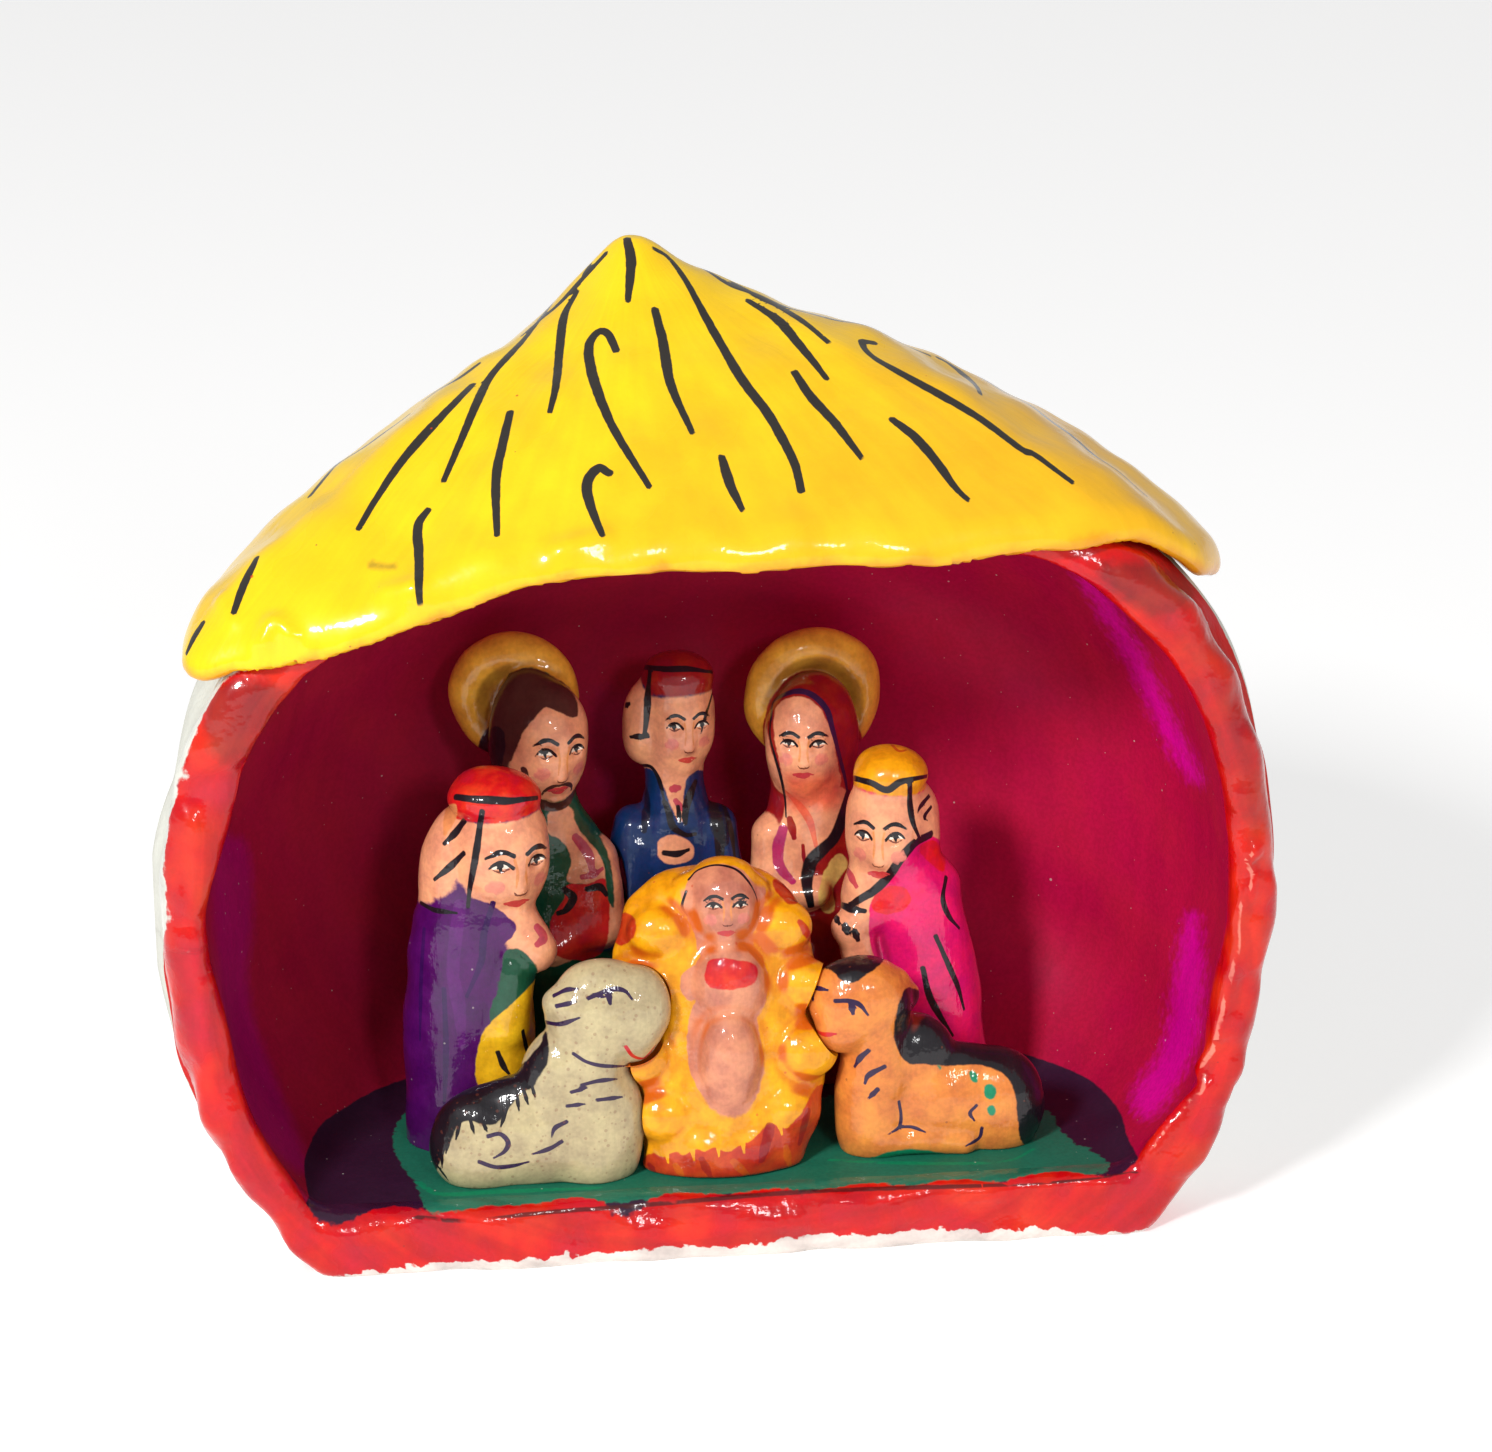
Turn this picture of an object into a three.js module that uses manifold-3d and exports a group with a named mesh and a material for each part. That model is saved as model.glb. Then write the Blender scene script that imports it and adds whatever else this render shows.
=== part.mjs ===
// A small painted nativity ornament of papier-mache: a round hut with an open front, a thatched
// roof cap whose thick edge hangs over the opening, and eight modelled figures standing on its
// floor. Units are millimetres, +Z is up and the open front faces -Y. The origin lies on the
// ground, under the middle of the whole ornament.

import * as THREE from "three";
import { mergeVertices } from "three/addons/utils/BufferGeometryUtils.js";
import Module from "manifold-3d";

const wasm = await Module();
wasm.setup();

// Hut walls: a nearly round upright outline, cut off flat by the open front.
const wallHalfWidth = 40.3; // at the widest height
const widestHeight = 26;
const lowerRadius = 35.8; // height of the outline's lower half, if the ground didn't cut it
const upperRadius = 34.4; // height of its upper half, if the roof didn't cut it
const lowerPowerLeft = 2.3; // squareness of each quarter of the outline, 2 for an ellipse
const lowerPowerRight = 2.45;
const upperPowerLeft = 2.25;
const upperPowerRight = 2.5;
const wallDepth = 35; // open front to the outside of the back wall
const widestDepth = 6; // the walls bulge a little behind the front
const frontPinch = 0.012; // share of the width lost at the front
const planPower = 2.3; // squareness of the walls seen from above
const wallThickness = 3.8;
const floorTop = 5;
const ceilingThickness = 2.2;

// Roof cap: a soft pointed cone with a thick drooping edge.
const roofLeftWidth = 37.3; // from the middle of the hut to the roof's left end
const roofRightWidth = 36.4;
const roofLeftCorner = 3.5; // depth of the roof's widest place on its left, behind the open front
const roofRightCorner = 11; // the right front corner is rounder
const roofOverhangFront = 2.6;
const roofOverhangBack = 1.6;
const roofThickness = 2.6;
const roofEdgeThickness = 2.7;
const roofEdgeBulge = 0.5;
const roofEdgeTuck = 0.9; // the underside of the edge is drawn in
const peakHeight = 71.4;
const peakLeft = 4.6; // the point leans to the left of the middle
const peakBehindFront = 20;
const tipDrop = 5.75; // height of the narrow tip above the main slope
const tipDropLean = 1.6; // the tip is steeper on the left than on the right
const tipRadius = 5;
const slopePowerLeft = 1.9; // above 1 the slope steepens towards the edge
const slopePowerRight = 2;
const roofFrontPower = 2.6; // squareness of the roof's plan, 2 for an ellipse
const roofBackPower = 1.9;
const edgeHeightLeft = 45.7; // underside of the roof's edge at its left end
const edgeHeightRight = 47.6;
const edgeArchRise = 5.8; // the edge is lifted over the opening
const edgeArchStart = -0.975; // where the lift begins and ends, and how soon it is full, as
const edgeArchEnd = 1.09; // shares of the roof's width from its middle
const edgeArchLeftRun = 0.75;
const edgeArchRightRun = 0.37;
const edgeArchFade = 0.39; // depth at which the lift has faded out, as a share of the hut's
const edgeArchFadeRun = 0.3;

// Figures, from the floor to the top of each.
const beardedManHeight = 35.9;
const veiledWomanHeight = 35.1;
const blueKingHeight = 34.2;
const purpleKingHeight = 29.3;
const pinkKingHeight = 28.9;
const mangerHeight = 22.9;
const lambHeight = 16.9;
const oxHeight = 15.5;

const fitGap = 0.3; // kept between pieces that are pressed against each other

const innerHalfWidth = wallHalfWidth - wallThickness;
const innerDepth = wallDepth - wallThickness;
const outlineSides = 40;
const bodySides = 10;
const backCrowding = 0.85; // below 1 the hut's outlines are closer together towards the front
const backFlat = 0.02; // the hut's back ends this little before its outline shrinks to a point
const lumpSides = 9;
const limbSides = 8;
const beyond = 60; // reach of a cutting block past what it cuts

const smooth = (share) => THREE.MathUtils.smoothstep(share, 0, 1);

// A closed geometry as a solid.
function solidOf(geometry) {
  const bare = geometry.clone();
  bare.deleteAttribute("normal");
  bare.deleteAttribute("uv");
  const merged = mergeVertices(bare, 1e-4);
  const triVerts = new Uint32Array(merged.index.array);
  const vertProperties = merged.attributes.position.array;
  return new wasm.Manifold(new wasm.Mesh({ numProp: 3, vertProperties, triVerts }));
}

function joined(solids) {
  return solids.reduce((whole, next) => whole.add(next));
}

// A closed skin over a pile of rings that run anticlockwise seen from where the pile grows to.
function stacked(rings) {
  const sides = rings[0].length;
  const points = rings.flat();
  const faces = [];
  for (let row = 0; row + 1 < rings.length; row++) {
    for (let side = 0; side < sides; side++) {
      const here = row * sides + side;
      const next = row * sides + ((side + 1) % sides);
      faces.push(here, next, next + sides, here, next + sides, here + sides);
    }
  }
  const lastRow = (rings.length - 1) * sides;
  for (const first of [0, lastRow]) {
    const ring = points.slice(first, first + sides);
    const middle = ring.reduce((sum, point) => sum.add(point), new THREE.Vector3());
    points.push(middle.divideScalar(sides));
    for (let side = 0; side < sides; side++) {
      const here = first + side;
      const next = first + ((side + 1) % sides);
      faces.push(points.length - 1, first ? here : next, first ? next : here);
    }
  }
  const geometry = new THREE.BufferGeometry().setFromPoints(points);
  geometry.setIndex(faces);
  return geometry;
}

function groundBelow(height) {
  const block = new THREE.BoxGeometry(2 * beyond, 2 * beyond, beyond);
  return solidOf(block.translate(0, 0, height - beyond / 2));
}

// Hut walls. A signed power keeps a superellipse's quarters mirrored.
const bent = (value, power) => Math.sign(value) * Math.abs(value) ** power;

function outlinePower(left, upper) {
  if (upper) return left ? upperPowerLeft : upperPowerRight;
  return left ? lowerPowerLeft : lowerPowerRight;
}

// Width of the hut at a depth, as a share of its widest.
function widthShare(depth, fullDepth) {
  if (depth < widestDepth) return 1 - frontPinch * (1 - depth / widestDepth) ** 2;
  const share = (depth - widestDepth) / (fullDepth - widestDepth);
  return Math.max(0, 1 - share ** planPower) ** (1 / planPower);
}

// Anticlockwise seen from the back of the hut, which the pile of outlines grows to.
function hutBody(inset, frontDepth) {
  const fullDepth = wallDepth - inset;
  const depths = [frontDepth, 0, widestDepth / 2];
  const backSteps = 8;
  for (let step = 0; step < backSteps; step++) {
    const share = Math.sin((Math.PI / 2) * (step / backSteps)) ** backCrowding;
    depths.push(widestDepth + share * (fullDepth - widestDepth));
  }
  depths.push(fullDepth - backFlat);
  return solidOf(stacked(depths.map((depth) =>
    Array.from({ length: outlineSides }, (_, side) => {
      const angle = (2 * Math.PI * side) / outlineSides;
      const rise = Math.sin(angle);
      const power = 2 / outlinePower(Math.cos(angle) > 0, rise > 0);
      const radius = (rise > 0 ? upperRadius : lowerRadius) - inset;
      const size = widthShare(Math.max(depth, 0), fullDepth);
      const across = -(wallHalfWidth - inset) * size * bent(Math.cos(angle), power);
      const height = widestHeight + radius * size * bent(rise, power);
      return new THREE.Vector3(across, depth, height);
    }))));
}

// A point of the roof's plan, nearly straight in front and a half ellipse behind.
function edgePlan(angle, outward) {
  const front = Math.sin(angle) < 0;
  const left = Math.cos(angle) < 0;
  const width = left ? roofLeftWidth : roofRightWidth;
  const corner = left ? roofLeftCorner : roofRightCorner;
  const reach = front ? corner + roofOverhangFront : wallDepth + roofOverhangBack - corner;
  const power = 2 / (front ? roofFrontPower : roofBackPower);
  const across = (width + outward) * bent(Math.cos(angle), power);
  const depth = corner + (reach + outward) * bent(Math.sin(angle), power);
  return new THREE.Vector3(across, depth, 0);
}

// The edge climbs from left to right, and is lifted over the opening between its two ends.
function edgeHeight({ x, y }) {
  const across = x / (x < 0 ? roofLeftWidth : roofRightWidth);
  const level = THREE.MathUtils.lerp(edgeHeightLeft, edgeHeightRight, (across + 1) / 2);
  const front = smooth((edgeArchFade - y / wallDepth) / edgeArchFadeRun);
  const fromLeft = smooth((across - edgeArchStart) / edgeArchLeftRun);
  const fromRight = smooth((edgeArchEnd - across) / edgeArchRightRun);
  return level + edgeArchRise * front * fromLeft * fromRight;
}

// A point of the roof's top, at a share of the way from the peak to the edge.
function roofPoint(angle, share) {
  const edge = edgePlan(angle, 0);
  const peak = new THREE.Vector3(-peakLeft, peakBehindFront, 0);
  const point = peak.clone().lerp(edge, share);
  const tip = tipDrop + tipDropLean * -Math.cos(angle);
  const tipShare = (distance) => 1 - 1 / (1 + (distance / tipRadius) ** 2);
  const reach = peak.distanceTo(edge);
  const edgeTop = edgeHeight(edge) + roofEdgeThickness;
  const fall = peakHeight - tip * tipShare(reach) - edgeTop;
  const power = THREE.MathUtils.lerp(slopePowerLeft, slopePowerRight, (Math.cos(angle) + 1) / 2);
  point.z = peakHeight - tip * tipShare(reach * share) - fall * share ** power;
  return point;
}

function ringAround(pointAt) {
  return Array.from({ length: outlineSides }, (_, side) =>
    pointAt((2 * Math.PI * side) / outlineSides));
}

function roofEdgeRing(outward, rise) {
  return ringAround((angle) => {
    const point = edgePlan(angle, outward);
    point.z = edgeHeight(edgePlan(angle, 0)) + rise;
    return point;
  });
}

const slopeShares = [0.03, 0.08, 0.15, 0.24, 0.36, 0.5, 0.66, 0.82, 0.93];

// Rounding of the roof's edge: shares of its bulge and of its thickness.
const edgeProfile = [[0, 0.12], [1, 0.45], [0.7, 0.75]];

function roofBody() {
  const slope = slopeShares.toReversed().map((share) => ringAround((angle) => roofPoint(angle, share)));
  return solidOf(stacked([
    roofEdgeRing(-roofEdgeTuck, 0),
    ...edgeProfile.map(([bulge, rise]) => roofEdgeRing(roofEdgeBulge * bulge, roofEdgeThickness * rise)),
    ...slope,
  ]));
}

// Everything higher than a level this far under the roof's top.
function aboveRoof(drop) {
  const level = [...slopeShares, 1, 1.2].map((share) => ringAround((angle) => {
    const point = roofPoint(angle, share);
    point.z -= drop;
    return point;
  }));
  const lid = level.at(-1).map((point) => new THREE.Vector3(point.x, point.y, peakHeight + beyond));
  return solidOf(stacked([...level, lid]));
}

function hutShell() {
  const outer = hutBody(0, 0).subtract(aboveRoof(roofThickness));
  const room = hutBody(wallThickness, -1)
    .subtract(aboveRoof(roofThickness + ceilingThickness))
    .subtract(groundBelow(floorTop));
  return outer.subtract(room).subtract(groundBelow(0));
}

function thatchedRoof() {
  const seat = hutBody(-fitGap, -fitGap).subtract(aboveRoof(roofThickness - fitGap));
  return roofBody().subtract(seat);
}

// Figures. A pen holds the scale, the place on the floor and how far each form is swollen.
function drawn(pen, geometry) {
  geometry.scale(pen.scale, pen.scale, pen.scale);
  geometry.translate(pen.across, pen.depth, floorTop);
  return solidOf(geometry);
}

// Body of a robe or mound: rows of [height, x, y, half width, half depth], from the floor up.
function robe(pen, rows) {
  return drawn(pen, stacked(rows.map(([z, x, y, halfWidth, halfDepth]) =>
    Array.from({ length: bodySides }, (_, side) => {
      const angle = (2 * Math.PI * side) / bodySides;
      return new THREE.Vector3(
        x + (halfWidth + pen.swell) * Math.cos(angle),
        y + (halfDepth + pen.swell) * Math.sin(angle),
        z,
      );
    }))));
}

// An egg-shaped lump; a lean in degrees tips its top to the right.
function lump(pen, [x, y, z], [halfWidth, halfDepth, halfHeight], lean = 0, sides = lumpSides) {
  const ball = new THREE.SphereGeometry(1, sides, Math.ceil(sides * 0.6));
  ball.rotateX(Math.PI / 2);
  ball.scale(halfWidth + pen.swell, halfDepth + pen.swell, halfHeight + pen.swell);
  ball.rotateY(THREE.MathUtils.degToRad(lean));
  return drawn(pen, ball.translate(x, y, z));
}

// A round-ended limb that tapers from one end to the other.
function limb(pen, from, fromRadius, to, toRadius) {
  const start = new THREE.Vector3(...from);
  const run = new THREE.Vector3(...to).sub(start);
  const arc = [0, Math.PI / 5, Math.PI / 2.5, Math.PI / 2];
  const low = fromRadius + pen.swell;
  const high = toRadius + pen.swell;
  const profile = [
    ...arc.map((turn) => new THREE.Vector2(low * Math.sin(turn), -low * Math.cos(turn))),
    ...arc.toReversed().map((turn) =>
      new THREE.Vector2(high * Math.sin(turn), run.length() + high * Math.cos(turn))),
  ];
  const tube = new THREE.LatheGeometry(profile, limbSides);
  const up = new THREE.Vector3(0, 1, 0);
  tube.applyQuaternion(new THREE.Quaternion().setFromUnitVectors(up, run.normalize()));
  return drawn(pen, tube.translate(...from));
}

// A halo: a dish with a thick rolled rim, upright behind a head and turned with it.
function halo(pen, [x, y, z], radius, rollRadius, turn) {
  const roll = new THREE.TorusGeometry(radius - rollRadius, rollRadius + pen.swell, 6, 16);
  const dish = new THREE.CylinderGeometry(radius - rollRadius, radius - rollRadius, rollRadius, 16);
  roll.rotateX(Math.PI / 2);
  return joined([roll, dish].map((shape) => {
    shape.rotateZ(THREE.MathUtils.degToRad(turn));
    return drawn(pen, shape.translate(x, y, z));
  }));
}

function beardedMan(pen) {
  return joined([
    robe(pen, [
      [-1, 0, 0, 4.6, 3.1], [3, 0, 0, 4.8, 3.2], [9, 0.3, 0, 4.9, 3.2], [14.5, 0.6, 0, 5.1, 3.2],
      [18.3, 0.5, 0, 4.7, 3], [20.8, 0.2, -0.1, 3.7, 2.6], [22.8, 0, -0.2, 2.4, 2.3],
      [26, -0.2, -0.3, 2, 2],
    ]),
    lump(pen, [0.1, -0.8, 27.9], [3.1, 2.9, 4.7]),
    lump(pen, [-0.9, 0.2, 28.1], [3.2, 2.6, 5]),
    limb(pen, [3.3, -0.9, 18.6], 1.9, [3.9, -1.7, 13.8], 1.7),
    limb(pen, [3.9, -1.7, 13.8], 1.6, [0.2, -2.7, 12.6], 1.3),
    limb(pen, [-3, -0.7, 18.4], 1.9, [-3.6, -1.4, 13], 1.7),
    halo(pen, [-2, 2.2, 30.5], 4.8, 1.5, -12),
  ]);
}

function veiledWoman(pen) {
  return joined([
    robe(pen, [
      [-1, 0, 0, 4.4, 3.1], [3, 0, 0, 4.6, 3.2], [9, 0, 0, 4.6, 3.2], [14, 0, 0, 4.5, 3.1],
      [18.4, 0.1, 0, 3.9, 2.8], [22, 0.3, 0, 3.1, 2.6], [25, 0.3, 0.1, 2.6, 2.4],
    ]),
    lump(pen, [-0.5, -1.2, 26.8], [2.8, 2.6, 4.6]),
    lump(pen, [0.3, 0, 26.4], [3.5, 2.7, 5.4]),
    limb(pen, [-2.6, -0.6, 19.4], 1.7, [-2.9, -1.9, 14.6], 1.6),
    limb(pen, [-2.9, -1.9, 14.6], 1.5, [0.2, -2.9, 15.6], 1.2),
    limb(pen, [2.9, -0.4, 19], 1.6, [3, -1.6, 14], 1.6),
    halo(pen, [0.6, 2.2, 29.2], 5.2, 1.5, 8),
  ]);
}

function blueKing(pen) {
  return joined([
    robe(pen, [
      [-1, 0, 0, 4.2, 2.9], [4, 0, 0, 4.4, 3], [11, 0, 0, 4.4, 3], [16.5, 0, 0, 4.2, 2.9],
      [19.6, 0, 0, 3.8, 2.7], [22, 0, 0, 3, 2.4], [24, 0, 0, 2.3, 2.1], [28, 0.1, 0, 2.3, 2.1],
    ]),
    lump(pen, [0.4, -0.4, 29.3], [2.7, 2.6, 4.4]),
    lump(pen, [-2.1, 0.1, 29.1], [1.8, 1.9, 3.5], 6),
    lump(pen, [0.3, -0.2, 32.5], [2.7, 2.5, 2]),
    limb(pen, [-3.1, -0.3, 20.6], 1.7, [-3.4, -1.2, 15.4], 2),
    limb(pen, [3.1, -0.3, 20.3], 1.7, [3.3, -1.2, 15.4], 2),
    lump(pen, [0, -2.4, 14.6], [1.9, 1.5, 2]),
  ]);
}

function purpleKing(pen) {
  return joined([
    robe(pen, [
      [-1, 0, 0.2, 4.3, 3.4], [4, 0.1, 0.1, 4.5, 3.5], [10, 0.2, 0, 4.6, 3.5],
      [15, 0.8, 0, 4.7, 3.4], [18, 0.9, 0, 4.4, 3.2], [20, 1.2, 0, 3.6, 2.8],
      [22, 1.6, 0, 3, 2.6],
    ]),
    lump(pen, [2.9, -0.5, 22.8], [3.7, 3.3, 5.2]),
    lump(pen, [-0.3, 0.3, 21.8], [2.6, 2.5, 4.9], 12),
    lump(pen, [2.6, -0.3, 27.2], [3.4, 3.1, 2.1]),
    limb(pen, [3.4, -1.1, 18], 2, [5.3, -1.9, 15.6], 1.6),
    limb(pen, [3.6, -1.6, 14], 1.8, [3, -2.2, 9.8], 1.7),
    limb(pen, [2.8, -0.8, 11], 2.4, [2.4, -1.2, 3], 2.6),
  ]);
}

function pinkKing(pen) {
  return joined([
    robe(pen, [
      [-1, 2, 0, 4, 3.3], [5.8, 1.4, 0, 4, 3.4], [12, 0.6, 0, 4, 3.4], [16, -0.4, 0, 4, 3.3],
      [18.6, -0.8, 0, 3.9, 3.1], [20.4, -1.4, 0, 3.2, 2.8], [22, -1.7, 0, 2.6, 2.5],
    ]),
    lump(pen, [-2.3, -0.4, 22.8], [3.1, 3.1, 5]),
    lump(pen, [-0.1, 0.3, 22.6], [1.9, 2.3, 3.8], -8),
    lump(pen, [-2, -0.2, 26.9], [2.8, 2.8, 2]),
    lump(pen, [-3.7, -1, 18], [2, 2, 3.2], 10),
    limb(pen, [-3.3, -1.4, 16.8], 1.7, [-5.2, -2.2, 15.6], 1.4),
    limb(pen, [-4.6, -1.9, 14.4], 1.4, [-3.8, -1.7, 9.8], 1.7),
  ]);
}

// The child lies on an oval bank of straw that leans back; tufts of straw stand round its edge.
function childInManger(pen) {
  const bankMiddle = 11;
  const tufts = 12;
  const bank = [
    [-1, 0, 0.1, 5.6, 2.8], [1.5, 0.4, 0.2, 6.4, 3], [4, 0.7, 0.7, 7.2, 3.1], [8, 0.5, 1.7, 7.2, 3.1],
    [13, 0.1, 2.9, 7.5, 3], [17, -0.1, 3.9, 7.3, 2.7], [20, -0.2, 4.6, 5.8, 2.2], [21.8, 0, 5, 3.2, 1.5],
  ];
  const straw = Array.from({ length: tufts }, (_, tuft) => {
    const angle = (2 * Math.PI * (tuft + 0.5)) / tufts - Math.PI / 2;
    const height = bankMiddle + 9.2 * Math.sin(angle);
    const reach = 6.2 * Math.cos(angle);
    return lump(pen, [reach + 0.3, height * 0.26 - 1.7, height], [2.5, 1.9, 2.2], 0, 7);
  });
  return joined([
    robe(pen, bank),
    ...straw,
    lump(pen, [0.6, 2.4, 19.6], [2.5, 2.3, 3.1]),
    lump(pen, [0.6, 3.2, 21.4], [2.5, 2, 1.6]),
    lump(pen, [0.8, 0.7, 13.9], [2.7, 2, 3.4]),
    lump(pen, [0.6, -0.8, 8.2], [2.35, 2.1, 4.5]),
  ]);
}

// The lamb lies down facing right with its head raised.
function lamb(pen) {
  return joined([
    lump(pen, [0, 0, 3.6], [7.4, 2.6, 4.6], -12),
    lump(pen, [-3.9, 0, 2.9], [3.7, 2.6, 4.2]),
    lump(pen, [2, 0, 7.6], [3.2, 2.4, 4.4], 22),
    lump(pen, [4.2, 0, 3.6], [3.6, 2.6, 6]),
    limb(pen, [3.9, 0, 6], 2.7, [4, -0.1, 11.5], 2.5),
    lump(pen, [4.9, -0.2, 12.7], [4.2, 2.5, 3.9], -14),
    lump(pen, [7.2, -0.2, 12.3], [2.4, 2.2, 3.7], 8),
    limb(pen, [1.6, -0.4, 13.6], 1, [3, -1.4, 13.2], 1.1),
  ]);
}

// The ox lies down facing left, with its head turned to the front.
function ox(pen) {
  return joined([
    lump(pen, [0.6, 0, 3.4], [6.8, 2.7, 4.5], 6),
    lump(pen, [4, 0, 2.8], [3.6, 2.7, 4.4]),
    lump(pen, [-5.2, -0.4, 3.6], [2.9, 2.5, 5.8]),
    lump(pen, [-2.2, 0, 7], [3.2, 2.3, 3.4], -30),
    limb(pen, [-4.8, -0.3, 6], 2.6, [-5.4, -0.5, 10.8], 2.5),
    lump(pen, [-6.3, -0.9, 12], [3.8, 2.8, 3.4]),
    limb(pen, [-3.6, -0.5, 13], 1, [-2.9, 0, 11.8], 1.1),
    limb(pen, [-4.5, -1.4, 1.2], 1.4, [1.2, -1.8, 0.8], 1.1),
  ]);
}

// A figure's solid, and the same figure swollen by the gap that its neighbours keep to it. Its
// drawing is scaled to its height and stands at shares of the room's half width and depth.
function modelled(draw, height, acrossShare, depthShare) {
  const standing = (pen) => draw(pen).subtract(groundBelow(floorTop));
  const sketch = geometryOf(standing({ scale: 1, across: 0, depth: 0, swell: 0 }));
  sketch.computeBoundingBox();
  const scale = height / (sketch.boundingBox.max.z - floorTop);
  const pen = { scale, across: acrossShare * innerHalfWidth, depth: depthShare * innerDepth, swell: 0 };
  return { solid: standing(pen), space: standing({ ...pen, swell: fitGap / scale }) };
}

function geometryOf(solid) {
  const { vertProperties, triVerts } = solid.getMesh();
  const geometry = new THREE.BufferGeometry();
  geometry.setAttribute("position", new THREE.BufferAttribute(vertProperties, 3));
  geometry.setIndex(new THREE.BufferAttribute(triVerts, 1));
  return geometry;
}

function painted(name, solid, color, roughness) {
  const geometry = geometryOf(solid).toNonIndexed();
  geometry.computeVertexNormals();
  const mesh = new THREE.Mesh(geometry, new THREE.MeshStandardMaterial({ color, roughness, metalness: 0 }));
  mesh.name = name;
  return mesh;
}

const group = new THREE.Group();
group.add(painted("hut_shell", hutShell(), 0xd8261c, 0.35));
group.add(painted("thatched_roof", thatchedRoof(), 0xfbd20c, 0.25));

// Listed from the front to the back: each figure makes way for those in front of it.
const figures = [
  ["lamb", modelled(lamb, lambHeight, -0.37, 0.165), 0xb9b090],
  ["ox", modelled(ox, oxHeight, 0.46, 0.235), 0xe08a3c],
  ["child_in_manger", modelled(childInManger, mangerHeight, 0, 0.17), 0xf2b414],
  ["purple_king", modelled(purpleKing, purpleKingHeight, -0.5, 0.39), 0x5a1f86],
  ["pink_king", modelled(pinkKing, pinkKingHeight, 0.43, 0.45), 0xe0307c],
  ["bearded_man", modelled(beardedMan, beardedManHeight, -0.31, 0.65), 0x1c5c3c],
  ["veiled_woman", modelled(veiledWoman, veiledWomanHeight, 0.235, 0.68), 0xc8402c],
  ["blue_king", modelled(blueKing, blueKingHeight, -0.04, 0.71), 0x1d3f78],
];
figures.forEach(([name, figure, color], order) => {
  const inFront = figures.slice(0, order).map(([, other]) => other.space);
  const solid = inFront.reduce((rest, space) => rest.subtract(space), figure.solid);
  group.add(painted(name, solid, color, 0.3));
});

// The group moves so that the origin is under the middle of the ornament.
const bounds = new THREE.Box3().setFromObject(group);
const middle = bounds.getCenter(new THREE.Vector3());
group.position.set(-middle.x, -middle.y, -bounds.min.z);
group.updateMatrixWorld(true);

export default group;
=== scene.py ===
import math

import bpy
import numpy as np
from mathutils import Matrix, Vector
from mathutils.bvhtree import BVHTree
from mathutils.kdtree import KDTree


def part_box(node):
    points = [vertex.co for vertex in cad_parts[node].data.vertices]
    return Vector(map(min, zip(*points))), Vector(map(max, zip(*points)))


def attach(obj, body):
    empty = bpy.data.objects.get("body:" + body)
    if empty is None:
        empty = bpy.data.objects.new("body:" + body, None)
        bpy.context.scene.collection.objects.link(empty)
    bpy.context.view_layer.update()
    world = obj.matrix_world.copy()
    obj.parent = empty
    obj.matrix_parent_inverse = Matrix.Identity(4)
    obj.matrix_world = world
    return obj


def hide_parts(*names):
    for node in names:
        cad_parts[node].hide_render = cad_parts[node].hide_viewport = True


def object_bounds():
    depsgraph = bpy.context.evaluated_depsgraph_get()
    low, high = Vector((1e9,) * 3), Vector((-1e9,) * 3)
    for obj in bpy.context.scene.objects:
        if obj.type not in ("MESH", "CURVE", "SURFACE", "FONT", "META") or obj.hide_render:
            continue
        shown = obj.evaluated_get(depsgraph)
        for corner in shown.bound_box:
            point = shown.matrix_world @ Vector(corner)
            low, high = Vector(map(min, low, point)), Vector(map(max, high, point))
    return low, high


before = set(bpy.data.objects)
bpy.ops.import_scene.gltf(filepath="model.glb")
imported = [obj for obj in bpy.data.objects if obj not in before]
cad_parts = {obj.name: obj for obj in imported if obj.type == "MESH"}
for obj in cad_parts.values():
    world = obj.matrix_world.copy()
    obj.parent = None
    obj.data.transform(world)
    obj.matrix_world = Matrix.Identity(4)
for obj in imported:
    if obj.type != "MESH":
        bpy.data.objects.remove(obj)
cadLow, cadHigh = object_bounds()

# Lengths are in millimetres until a mesh is made. Depths are counted from the hut's open front.
mm = 0.001
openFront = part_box("hut_shell")[0].y / mm
toFrame = np.array([0.0, openFront, 0.0])

cameraView = {
    "azimuth": -7.0,
    "elevation": 20.0,
    "distance": 340.0,
    "target": (3.35, 0.0, 34.86),
    "lens": 111.33,
    "sensor": 36.0,
    "imageWidth": 1492,
    "imageHeight": 1452,
}


def cameraAxes():
    turn = math.radians(cameraView["azimuth"])
    rise = math.radians(cameraView["elevation"])
    back = np.array([math.sin(turn) * math.cos(rise), -math.cos(turn) * math.cos(rise), math.sin(rise)])
    right = np.array([math.cos(turn), math.sin(turn), 0.0])
    return back, right, np.cross(back, right)


cameraBack, cameraRight, cameraUp = cameraAxes()
cameraPlace = np.array(cameraView["target"]) + cameraBack * cameraView["distance"]
pixelLens = cameraView["lens"] / cameraView["sensor"] * cameraView["imageWidth"]
imageMiddle = np.array([cameraView["imageWidth"] / 2, cameraView["imageHeight"] / 2])


def toPixels(points):
    away = points + toFrame - cameraPlace
    depth = -(away @ cameraBack)
    return imageMiddle + pixelLens * np.stack([away @ cameraRight, -(away @ cameraUp)], -1) / depth[:, None]


def viewRay(pixel):
    across, down = (np.array(pixel, float) - imageMiddle) / pixelLens
    ray = cameraRight * across - cameraUp * down - cameraBack
    return ray / np.linalg.norm(ray)


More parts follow.
